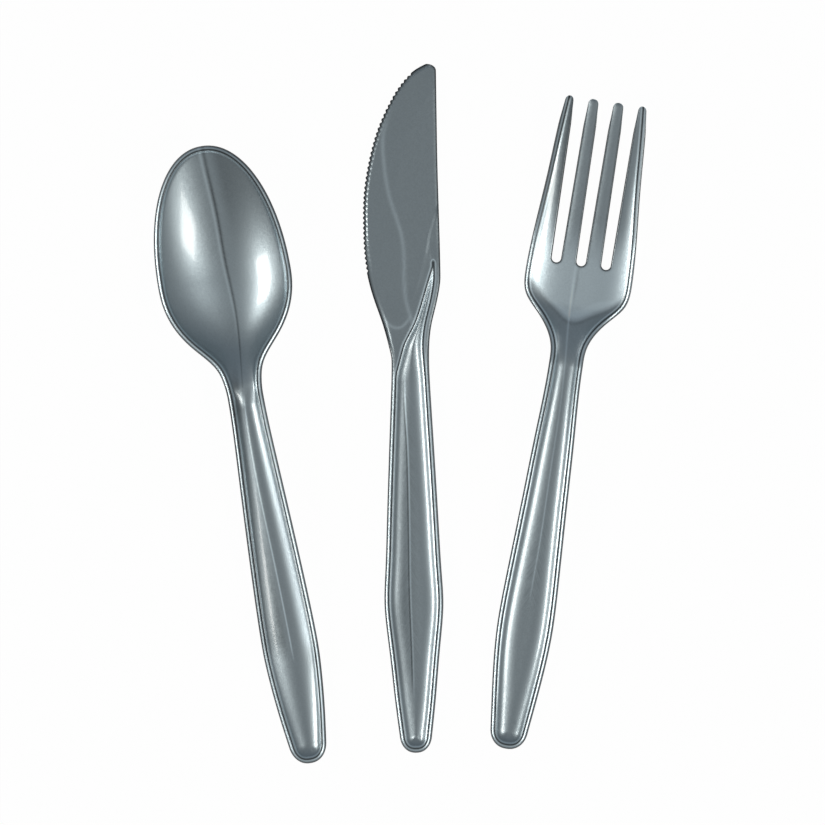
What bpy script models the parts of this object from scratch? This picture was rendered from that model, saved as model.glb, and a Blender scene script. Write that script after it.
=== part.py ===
# Three pieces of moulded plastic cutlery lying side by side, face up: a spoon, a knife and a fork.
# Each is one thin moulding. Its handle is a shallow trough with a rounded rim along both sides.
# Units are metres. +X runs across the set, +Y towards the bowl, blade and tines, and +Z is up.
# The origin is on the table, under the middle of the set.

import math

import bmesh
import bpy
import numpy as np

# Wall and rim, the same on all three pieces
WALL = 0.0014            # thickness of the moulding
RIM_WIDTH = 0.0012       # from the outer edge to the crest of the rim
RIM_ROLL = 0.0010        # how far the rim rolls down from its crest to the edge
EDGE_HEIGHT = 0.0005     # upright face of the edge under the roll
LAND_SINK = 0.0002       # how far the round belly is cut away flat where it rests
REST_LENGTH = 0.0120     # stretch at the end of a handle that lies level
SPOON_SPACING = 0.02913  # end of the knife's handle to the end of the spoon's, across the set
FORK_SPACING = 0.02492   # the same to the end of the fork's
SPOON_FORWARD = 0.00284  # how much nearer the front the end of the spoon's handle lies than the knife's
FORK_BACK = 0.00111      # how much further back the end of the fork's lies

# Spoon, lengths along its own middle line
SPOON_TURN = 10.06                # degrees, the bowl leans to the left
SPOON_HANDLE_LENGTH = 0.1030      # end of the handle to the neck
SPOON_SHOULDER_LENGTH = 0.0333    # neck to the widest place of the bowl
SPOON_TIP_LENGTH = 0.0368         # widest place of the bowl to its tip
SPOON_END_LENGTH = 0.0052         # rounded end of the handle
SPOON_END_WIDTH = 0.0090
SPOON_HANDLE_WIDTH = 0.0155
SPOON_WIDEST_AT = 0.0330          # end of the handle to its widest place
SPOON_NECK_WIDTH = 0.0099
SPOON_BOWL_WIDTH = 0.0370
SPOON_TROUGH_DEPTH = 0.0019
SPOON_NECK_DEPTH = 0.0022
SPOON_SADDLE_DEPTH = 0.0007       # shallow place between the handle's trough and the bowl
SPOON_SADDLE_START = 0.0030       # before the neck, where the trough starts to run out
SPOON_SADDLE_AT = 0.0040          # after the neck, where it is shallowest
SPOON_SINK_START = 0.0020         # after the neck, where the bowl starts to sink
SPOON_SINK_RUN = 0.0095           # how soon it gets deep
SPOON_BOWL_DEPTH = 0.0070
SPOON_BELLY_DEPTH = 0.0006        # more depth between the bowl's middle and the handle
SPOON_BELLY_AT = 0.0220           # after the neck, the deepest place
SPOON_BELLY_REACH = 0.0130
SPOON_STEP_DEPTH = 0.0004         # small step down inside the bowl's rim
SPOON_STEP_RUN = 0.0008
SPOON_BOWL_SINK = 0.0003          # the same cut under the bowl
SPOON_NECK_HEIGHT = 0.0096        # table to the rim at the neck
SPOON_TIP_LIFT = 0.0028           # the tip's rim above the rim beside the bowl
SPOON_DISH_POWER = 0.9            # 1 gives a parabola, less gives steeper sides

# Fork
FORK_TURN = -8.75                 # degrees, the tines lean to the right
FORK_HANDLE_LENGTH = 0.1070
FORK_SHOULDER_LENGTH = 0.0245     # neck to the widest place of the head
FORK_ROOT_LENGTH = 0.0282         # neck to the bottom of the slots
FORK_TINE_LENGTH = 0.0459
FORK_END_LENGTH = 0.0050
FORK_END_WIDTH = 0.0092
FORK_HANDLE_WIDTH = 0.0155
FORK_WIDEST_AT = 0.0350
FORK_NECK_WIDTH = 0.0094
FORK_HEAD_WIDTH = 0.0298
FORK_TIP_WIDTH = 0.0230           # across all four tines at their tips
FORK_SLOT_PITCH = 0.00695
FORK_SLOT_ROOT_WIDTH = 0.0026
FORK_SLOT_TIP_WIDTH = 0.0036
FORK_POINT_LENGTH = 0.0090        # the tapered end of a tine
FORK_POINT_TAPER = 0.0003         # taken off each side of a tine there
FORK_TINE_TIP_ROUND = 0.0015
FORK_TROUGH_DEPTH = 0.0017
FORK_WALL_RUN = 0.0052            # width of the trough's sloping side
FORK_PALM_START = 0.0175          # neck to where the palm lies lowest
FORK_PALM_DEPTH = 0.0020
FORK_PALM_POWER = 3.5             # 2 gives a round palm, more gives a flat one with sides that turn up
FORK_TIP_DEPTH = 0.0005           # sideways dish across the tips
FORK_TINE_HOLLOW = 0.0002         # shallow hollow along each tine
FORK_HOLLOW_RUN = 0.0120
FORK_ROLL_RUN = 0.0100            # after the slots' bottom, where the rim gets flatter
FORK_NECK_HEIGHT = 0.0100
FORK_TIP_HEIGHT = 0.0105
FORK_BEND = 1.5                   # power of the upward curve from the palm to the tips

# Knife
KNIFE_TURN = 0.86
KNIFE_HANDLE_LENGTH = 0.1085
KNIFE_BLADE_LENGTH = 0.0822
KNIFE_END_LENGTH = 0.0044
KNIFE_END_WIDTH = 0.0078
KNIFE_HANDLE_WIDTH = 0.01632
KNIFE_WIDEST_AT = 0.0420
KNIFE_NECK_WIDTH = 0.0104
KNIFE_TROUGH_DEPTH = 0.0016
KNIFE_WALL_RUN = 0.0045
KNIFE_SWEEP_START = 0.0060        # before the neck, where the left rim starts to cross over
KNIFE_SWEEP_LENGTH = 0.0330       # from there to the trough's point at the spine
KNIFE_EDGE_REACH = 0.01255        # middle line to the deepest place of the cutting edge
KNIFE_EDGE_DEEPEST = 0.0370       # neck to that place
KNIFE_SPINE_REACH = 0.0083        # middle line to the back of the blade
KNIFE_SHOULDER_REACH = 0.0087     # the same at the back's hump behind the handle
KNIFE_SHOULDER_AT = 0.0235        # neck to that hump
KNIFE_TIP_REACH = 0.0056          # middle line to the tip, on the spine's side
KNIFE_TIP_ROUND = 0.0019
KNIFE_TIP_STEEPNESS = 1.6         # how much steeper the edge ends than its last stretch
KNIFE_SPINE_RIM = 0.0018          # rim between the trough and the spine
KNIFE_BLADE_STEP = 0.0006         # the blade's face below the rim of the handle
KNIFE_STEP_RUN = 0.0090           # after the trough's point, where the step reaches the spine
KNIFE_SPREAD_RUN = 0.0123         # the same for the columns, which then lie evenly
KNIFE_BLADE_UNDER = 0.0007        # table to the underside of the blade
KNIFE_UNDER_RUN = 0.0140
KNIFE_HOLLOW = 0.0004             # how much thinner the ground part of the blade gets
KNIFE_GRIND_WIDTH = 0.0085        # cutting edge to where the grinding starts
KNIFE_EDGE_BAND = 0.0014          # narrow bevel along the teeth
KNIFE_EDGE_THICKNESS = 0.00085
KNIFE_TOOTH_PITCH = 0.0014
KNIFE_TOOTH_DEPTH = 0.00045
KNIFE_TEETH_START = 0.0244        # neck to the first tooth
KNIFE_TEETH_MARGIN = 0.0024       # last tooth to the tip

END_ROUNDNESS = 2.3               # 2 gives an ellipse, more gives squarer corners
BOWL_ROUNDNESS = 2.1
SAME_POINT = 0.000001             # points nearer than this are one
LEAST = 0.000001                  # keeps a share above 0 where it divides

# Silver plastic with metal flake in it
SILVER = (0.42, 0.45, 0.47)
METALLIC = 0.6
ROUGHNESS = 0.3
SHARP_ANGLE = 40                  # degrees, faces that meet more sharply show an edge

# Places across a piece, as shares from its edge to its middle, close together over the rim
SPOON_TOP_COLUMNS = (0, 0.045, 0.1, 0.17, 0.28, 0.42, 0.6, 0.8, 1)
SPOON_UNDER_COLUMNS = (0, 0.06, 0.15, 0.32, 0.55, 0.8, 1)
FORK_TOP_COLUMNS = (0, 0.05, 0.15, 0.27, 0.42, 0.57, 0.72, 0.86, 1)
FORK_UNDER_COLUMNS = (0, 0.15, 0.42, 0.72, 1)
KNIFE_UNDER_COLUMNS = (0, 0.15, 0.42, 0.7, 1)
# The same across one tine, across the knife's left rim, its trough and its back
TINE_TOP_COLUMNS = (0, 0.12, 0.35, 0.68, 1)
TINE_UNDER_COLUMNS = (0, 0.5, 1)
KNIFE_RIM_COLUMNS = (0, 0.12, 0.38, 0.67)
KNIFE_TROUGH_COLUMNS = (0, 0.1, 0.25, 0.5, 0.75, 0.9, 1)
KNIFE_BACK_COLUMNS = (0.7, 1)
# Rows along the round bottom of a slot, as shares of its radius
SLOT_BOTTOM_ROWS = (0.1, 0.4, 1)
FIRST_ROW = 0.1                   # radians, the first row's place on the quarter round of an end
EDGE_SAMPLES = 2000               # for the length of the cutting edge

# Shapes as shares of the stretch that they fill: (share of its length, share of its change in width)
WALL_SHAPE = ((0.08, 0.06), (0.20, 0.31), (0.33, 0.58), (0.44, 0.725), (0.56, 0.835), (0.72, 0.935))
SPOON_SWELL = ((0.44, 0.60), (0.72, 0.87))
FORK_SWELL = ((0.44, 0.57), (0.72, 0.87))
KNIFE_SWELL = ((0.34, 0.40), (0.67, 0.72), (0.88, 0.94))
SPOON_TAPER = ((0.18, 0.10), (0.49, 0.44), (0.75, 0.78))
FORK_TAPER = ((0.17, 0.12), (0.48, 0.47), (0.73, 0.74))
KNIFE_TAPER = ((0.12, 0.12), (0.32, 0.33), (0.85, 0.89))
SPOON_SHOULDER = ((0.14, 0.03), (0.27, 0.135), (0.47, 0.53), (0.67, 0.84), (0.87, 0.98))
FORK_SHOULDER = ((0.2, 0.02), (0.38, 0.18), (0.56, 0.50), (0.74, 0.87), (0.87, 0.98))
FORK_HEAD_TAPER = ((0.18, 0.10), (0.36, 0.31), (0.54, 0.53), (0.72, 0.70), (0.9, 0.88))
KNIFE_EDGE_SWELL = ((0.09, 0.07), (0.27, 0.30), (0.46, 0.62), (0.69, 0.90))
KNIFE_EDGE_SWEEP = ((0.19, 0.012), (0.39, 0.09), (0.58, 0.22), (0.78, 0.45), (0.92, 0.70))
KNIFE_BACK_SWELL = ((0.24, 0.06), (0.43, 0.24), (0.62, 0.56), (0.81, 0.85))
KNIFE_RIM_SWEEP = ((0.22, 0.14), (0.31, 0.22), (0.48, 0.48), (0.63, 0.65), (0.78, 0.79))


def smooth_curve(points, at, start_slope=0.0, end_slope=0.0):
    """Height at each place of the cubic spline through the points, with the given slopes at its ends."""
    x, y = np.array(points, float).T
    step = np.diff(x)
    rise = np.diff(y) / step
    system = np.zeros((len(x), len(x)))
    system[0, 0] = system[-1, -1] = 1.0
    right = np.zeros(len(x))
    right[0], right[-1] = start_slope, end_slope
    for i in range(1, len(x) - 1):
        system[i, i - 1:i + 2] = step[i], 2 * (step[i - 1] + step[i]), step[i - 1]
        right[i] = 3 * (step[i] * rise[i - 1] + step[i - 1] * rise[i])
    slope = np.linalg.solve(system, right)
    at = np.clip(at, x[0], x[-1])
    k = np.clip(np.searchsorted(x, at) - 1, 0, len(step) - 1)
    t = (at - x[k]) / step[k]
    start = y[k] * (1 + 2 * t) * (1 - t) ** 2 + step[k] * slope[k] * t * (1 - t) ** 2
    end = y[k + 1] * (3 - 2 * t) * t ** 2 + step[k] * slope[k + 1] * (t - 1) * t ** 2
    return start + end


def ease(t):
    """0 below 0, 1 above 1, and a smooth step between."""
    t = np.clip(t, 0, 1)
    return t * t * (3 - 2 * t)


def between(shape, start, end):
    """A shape's points laid between two (place, size) pairs."""
    (x0, y0), (x1, y1) = start, end
    inner = [(x0 + (x1 - x0) * u, y0 + (y1 - y0) * v) for u, v in shape]
    return [start, *inner, end]


def handle_side(s, end_width, swell, width, widest_at, taper, neck_width, neck_at):
    """Half width of a handle without its rounded end. It swells to its widest place, then tapers."""
    rise = between(swell, (0, end_width / 2), (widest_at, width / 2))
    first_slope = (rise[1][1] - rise[0][1]) / (rise[1][0] - rise[0][0])
    fall = between(taper, (widest_at, width / 2), (neck_at, neck_width / 2))
    return np.where(s < widest_at, smooth_curve(rise, s, first_slope), smooth_curve(fall, s))


def end_share(s, end, length):
    """1 at the outer end of a rounded end of this length, 0 from its root on."""
    return np.clip((length - np.abs(s - end)) / length, 0, 1)


def end_width_share(share, roundness):
    """What a rounded end leaves of the width."""
    return (1 - share ** roundness) ** (1 / roundness)


def edge_distance(x, side, side_slope, share, share_length, roundness):
    """Distance to the outline. R is 1 on the outline and 0 in the middle, and the rest of R up to 1
    is turned into a length by how fast R grows at the outline."""
    across = np.abs(x) / side
    r = np.maximum((across ** roundness + share ** roundness) ** (1 / roundness), LEAST)
    q, v = across / r, share / r
    grows_across = q ** (roundness - 1) / side
    grows_along = v ** (roundness - 1) / share_length - q ** roundness * side_slope / side
    return np.maximum(1 - r, 0) / np.maximum(np.hypot(grows_across, grows_along), LEAST)


def roll_drop(e, roll):
    """How far the rim's quarter round has dropped at distance e from the outer edge."""
    t = np.clip(1 - e / RIM_WIDTH, 0, 1)
    return roll * (1 - np.sqrt(1 - t * t))


def underside(crest, dish, e, roll, wall):
    """Belly of the wall: at the edge it is just under the roll, and further in one wall under the dish.
    Where it would reach below the table it is cut away flat."""
    edge_drop = roll + EDGE_HEIGHT
    ramp = 1 - (1 - np.clip(e / (2 * RIM_WIDTH), 0, 1)) ** 2
    return np.maximum(crest - edge_drop - ramp * (dish + wall - edge_drop), 0)


def trough_share(inward, run):
    """0 on the rim, 1 on the flat floor. The wall is steep near the rim and runs out softly."""
    return smooth_curve(between(WALL_SHAPE, (0, 0), (1, 1)), np.clip(inward / run, 0, 1))


def bell(t):
    """A bell of height 1 around 0."""
    return np.exp(-t * t)


def end_rows(length, count):
    """Places along a rounded end, close together at its outer end."""
    return length * (1 - np.cos(np.linspace(FIRST_ROW, np.pi / 2, count)))


def mirrored(shares):
    """Places across a piece, from -1 at its left edge to 1, out of shares from the edge to the middle."""
    left = np.array(shares) - 1
    return np.concatenate([left, -left[-2::-1]])


def strip(mesh, near, far):
    for j in range(len(near) - 1):
        mesh.faces.new((near[j], near[j + 1], far[j + 1], far[j]))


def plastic(name):
    finish = bpy.data.materials.new(name)
    finish.use_nodes = True
    shader = finish.node_tree.nodes["Principled BSDF"]
    shader.inputs["Base Color"].default_value = (*SILVER, 1.0)
    shader.inputs["Metallic"].default_value = METALLIC
    shader.inputs["Roughness"].default_value = ROUGHNESS
    return finish


def add_piece(name, place, turn, bands, split_row=0):
    """Makes one closed body out of bands, each a pair of top and bottom grids of points.

    Neighbouring bands meet along one line before split_row, and from there on each has a wall of its own."""
    mesh = bmesh.new()
    for number, grids in enumerate(bands):
        above, below = ([[mesh.verts.new(p) for p in row] for row in grid] for grid in grids)
        for i in range(len(above) - 1):
            strip(mesh, above[i], above[i + 1])
            strip(mesh, below[i + 1], below[i])
            if number == 0 or i >= split_row:
                mesh.faces.new((below[i][0], above[i][0], above[i + 1][0], below[i + 1][0]))
            if number == len(bands) - 1 or i >= split_row:
                mesh.faces.new((above[i][-1], below[i][-1], below[i + 1][-1], above[i + 1][-1]))
        mesh.faces.new(below[0] + above[0][::-1])
        mesh.faces.new(above[-1] + below[-1][::-1])
    bmesh.ops.remove_doubles(mesh, verts=mesh.verts, dist=SAME_POINT)
    bmesh.ops.recalc_face_normals(mesh, faces=mesh.faces)
    data = bpy.data.meshes.new(name)
    mesh.to_mesh(data)
    mesh.free()
    data.shade_smooth()
    data.set_sharp_from_angle(angle=math.radians(SHARP_ANGLE))
    data.materials.append(plastic(name + "_plastic"))
    piece = bpy.data.objects.new(name, data)
    piece.location = (*place, 0.0)
    piece.rotation_euler = (0.0, 0.0, math.radians(turn))
    bpy.context.collection.objects.link(piece)
    bpy.context.view_layer.update()
    return piece


def grid(x, s, z):
    """Points of a grid from its x, its rows' places along the piece, and its heights."""
    return np.stack([x, np.broadcast_to(s, x.shape), z], axis=-1)


def spoon():
    neck_at = SPOON_HANDLE_LENGTH
    widest_at = neck_at + SPOON_SHOULDER_LENGTH
    tip_at = widest_at + SPOON_TIP_LENGTH
    rest_height = SPOON_TROUGH_DEPTH + WALL - LAND_SINK
    bowl_height = SPOON_BOWL_DEPTH + SPOON_BELLY_DEPTH + SPOON_STEP_DEPTH + WALL - SPOON_BOWL_SINK
    saddle_from, saddle_at = neck_at - SPOON_SADDLE_START, neck_at + SPOON_SADDLE_AT
    belly_at = neck_at + SPOON_BELLY_AT

    def side_of(s):
        handle = handle_side(s, SPOON_END_WIDTH, SPOON_SWELL, SPOON_HANDLE_WIDTH, SPOON_WIDEST_AT,
                             SPOON_TAPER, SPOON_NECK_WIDTH, neck_at)
        shoulder = between(SPOON_SHOULDER, (neck_at, SPOON_NECK_WIDTH / 2), (widest_at, SPOON_BOWL_WIDTH / 2))
        return np.where(s < neck_at, handle, smooth_curve(shoulder, s))

    def surfaces(s, places):
        side = side_of(s)
        slope = (side_of(s + SAME_POINT) - side_of(s - SAME_POINT)) / (2 * SAME_POINT)
        at_tip = s > widest_at
        share = np.where(at_tip, end_share(s, tip_at, SPOON_TIP_LENGTH), end_share(s, 0, SPOON_END_LENGTH))
        length = np.where(at_tip, SPOON_TIP_LENGTH, SPOON_END_LENGTH)
        roundness = np.where(at_tip, BOWL_ROUNDNESS, END_ROUNDNESS)
        x = side * end_width_share(share, roundness) * places
        e = edge_distance(x, side, slope, share, length, roundness)
        rise = ease((s - REST_LENGTH) / (neck_at - REST_LENGTH))
        crest = rest_height + (SPOON_NECK_HEIGHT - rest_height) * rise
        into_bowl = 1 - bell(np.maximum(s - neck_at - SPOON_SINK_START, 0) / SPOON_SINK_RUN)
        crest += (bowl_height - SPOON_NECK_HEIGHT) * into_bowl
        crest += SPOON_TIP_LIFT * ease((s - widest_at) / SPOON_TIP_LENGTH)
        into_saddle = ease((s - saddle_from) / (saddle_at - saddle_from))
        depth = SPOON_TROUGH_DEPTH + (SPOON_NECK_DEPTH - SPOON_TROUGH_DEPTH) * ease(s / neck_at)
        depth += (SPOON_SADDLE_DEPTH - depth) * into_saddle
        depth += (SPOON_BOWL_DEPTH - depth) * into_bowl
        depth += SPOON_BELLY_DEPTH * bell((s - belly_at) / SPOON_BELLY_REACH) * into_bowl
        r = ((np.abs(x) / side) ** roundness + share ** roundness) ** (1 / roundness)
        crest_r = np.where(r < 1, 1 - RIM_WIDTH * (1 - r) / np.maximum(e, SAME_POINT), 1)
        dish = depth * (1 - np.minimum(r / crest_r, 1) ** 2) ** SPOON_DISH_POWER
        dish += SPOON_STEP_DEPTH * into_saddle * ease((e - RIM_WIDTH) / SPOON_STEP_RUN)
        top = crest - roll_drop(e, RIM_ROLL) - dish
        return grid(x, s, top), grid(x, s, underside(crest, dish, e, RIM_ROLL, WALL))

    rows = np.concatenate([
        end_rows(SPOON_END_LENGTH, 6),
        np.linspace(SPOON_END_LENGTH, neck_at, 13)[1:],
        np.linspace(neck_at, widest_at, 13)[1:],
        tip_at - end_rows(SPOON_TIP_LENGTH, 15)[::-1][1:],
    ])[:, None]
    top = surfaces(rows, mirrored(SPOON_TOP_COLUMNS))[0]
    bottom = surfaces(rows, mirrored(SPOON_UNDER_COLUMNS))[1]
    return add_piece("spoon", (-SPOON_SPACING, -SPOON_FORWARD), SPOON_TURN, [(top, bottom)])


def fork():
    neck_at = FORK_HANDLE_LENGTH
    widest_at = neck_at + FORK_SHOULDER_LENGTH
    root_at = neck_at + FORK_ROOT_LENGTH
    tip_at = root_at + FORK_TINE_LENGTH
    rest_height = FORK_TROUGH_DEPTH + WALL - LAND_SINK
    palm_height = FORK_PALM_DEPTH + WALL - LAND_SINK
    root_radius = FORK_SLOT_ROOT_WIDTH / 2
    palm_at = neck_at + FORK_PALM_START

    def side_of(s):
        handle = handle_side(s, FORK_END_WIDTH, FORK_SWELL, FORK_HANDLE_WIDTH, FORK_WIDEST_AT,
                             FORK_TAPER, FORK_NECK_WIDTH, neck_at)
        shoulder = between(FORK_SHOULDER, (neck_at, FORK_NECK_WIDTH / 2), (widest_at, FORK_HEAD_WIDTH / 2))
        head = between(FORK_HEAD_TAPER, (widest_at, FORK_HEAD_WIDTH / 2), (tip_at, FORK_TIP_WIDTH / 2))
        last_slope = (head[-1][1] - head[-2][1]) / (head[-1][0] - head[-2][0])
        return np.select([s < neck_at, s < widest_at],
                         [handle, smooth_curve(shoulder, s)], smooth_curve(head, s, 0, last_slope))

    def slot_half_width(s):
        """The slot's round bottom, then straight sides that spread towards the tips."""
        past = np.clip((s - root_at) / root_radius, 0, 1)
        round_bottom = root_radius * np.sqrt(1 - (1 - past) ** 2)
        spread = np.clip((s - root_at) / FORK_TINE_LENGTH, 0, 1)
        return round_bottom + spread * (FORK_SLOT_TIP_WIDTH - FORK_SLOT_ROOT_WIDTH) / 2

    def tine_sides(s, number):
        """Left and right side of one of the four tines. Before the slots they are lines across the palm."""
        side = side_of(s)
        narrowing = np.where(s < root_at, side / side_of(root_at), 1)
        left, right = (FORK_SLOT_PITCH * (number + step) * narrowing for step in (-2, -1))
        left = -side if number == 0 else left + slot_half_width(s)
        right = side if number == 3 else right - slot_half_width(s)
        taper = FORK_POINT_TAPER * ease((s - tip_at + FORK_POINT_LENGTH) / FORK_POINT_LENGTH)
        half = (right - left) / 2 - taper
        share = end_share(s, tip_at, FORK_TINE_TIP_ROUND)
        half = half * end_width_share(share, END_ROUNDNESS)
        return (left + right) / 2 - half, (left + right) / 2 + half

    def surfaces(s, number, handle_places, tine_places):
        side = side_of(s)
        slope = (side_of(s + SAME_POINT) - side_of(s - SAME_POINT)) / (2 * SAME_POINT)
        share = end_share(s, 0, FORK_END_LENGTH)
        left, right = tine_sides(s, number)
        spread = ease((s - neck_at) / FORK_ROOT_LENGTH)
        in_handle = side * end_width_share(share, END_ROUNDNESS) * handle_places
        x = in_handle + spread * (left + (right - left) * tine_places - in_handle)
        e = edge_distance(x, side, slope, share, FORK_END_LENGTH, END_ROUNDNESS)
        rise = ease((s - REST_LENGTH) / (neck_at - REST_LENGTH))
        bend = np.clip((s - palm_at) / (tip_at - palm_at), 0, 1) ** FORK_BEND
        crest = rest_height + (FORK_NECK_HEIGHT - rest_height) * rise
        crest += (palm_height - FORK_NECK_HEIGHT) * ease((s - neck_at) / FORK_PALM_START)
        crest += (FORK_TIP_HEIGHT - palm_height) * bend
        palm = ease((s - neck_at) / FORK_SHOULDER_LENGTH)
        depth = FORK_PALM_DEPTH + (FORK_TIP_DEPTH - FORK_PALM_DEPTH) * ease((s - root_at) / FORK_TINE_LENGTH)
        in_palm = depth * (1 - np.minimum(np.abs(x) / (side - RIM_WIDTH), 1) ** FORK_PALM_POWER)
        run = np.minimum(FORK_WALL_RUN, side - RIM_WIDTH)
        in_trough = FORK_TROUGH_DEPTH * trough_share(e - RIM_WIDTH, run)
        dish = in_trough + palm * (in_palm - in_trough)
        roll = RIM_ROLL * (1 - ease((s - root_at) / FORK_ROLL_RUN) / 2)
        hollow = FORK_TINE_HOLLOW * (1 - (2 * tine_places - 1) ** 2) * ease((s - root_at) / FORK_HOLLOW_RUN)
        top = crest - roll_drop(e, roll) - dish - hollow
        return grid(x, s, top), grid(x, s, underside(crest, dish, e, roll, WALL))

    before_root = np.concatenate([
        end_rows(FORK_END_LENGTH, 6),
        np.linspace(FORK_END_LENGTH, neck_at, 11)[1:],
        np.linspace(neck_at, root_at, 11)[1:],
    ])
    rows = np.concatenate([
        before_root,
        root_at + root_radius * np.array(SLOT_BOTTOM_ROWS),
        np.linspace(root_at + root_radius, tip_at - FORK_TINE_TIP_ROUND, 9)[1:],
        tip_at - end_rows(FORK_TINE_TIP_ROUND, 4)[::-1][1:],
    ])[:, None]
    above, below = mirrored(FORK_TOP_COLUMNS), mirrored(FORK_UNDER_COLUMNS)
    on_top, under = np.array(TINE_TOP_COLUMNS), np.array(TINE_UNDER_COLUMNS)
    top_step, under_step = len(on_top) - 1, len(under) - 1
    bands = []
    for number in range(4):
        top = surfaces(rows, number, above[number * top_step:][:top_step + 1], on_top)[0]
        bottom = surfaces(rows, number, below[number * under_step:][:under_step + 1], under)[1]
        bands.append((top, bottom))
    return add_piece("fork", (FORK_SPACING, FORK_BACK), FORK_TURN, bands, len(before_root) - 1)


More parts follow.
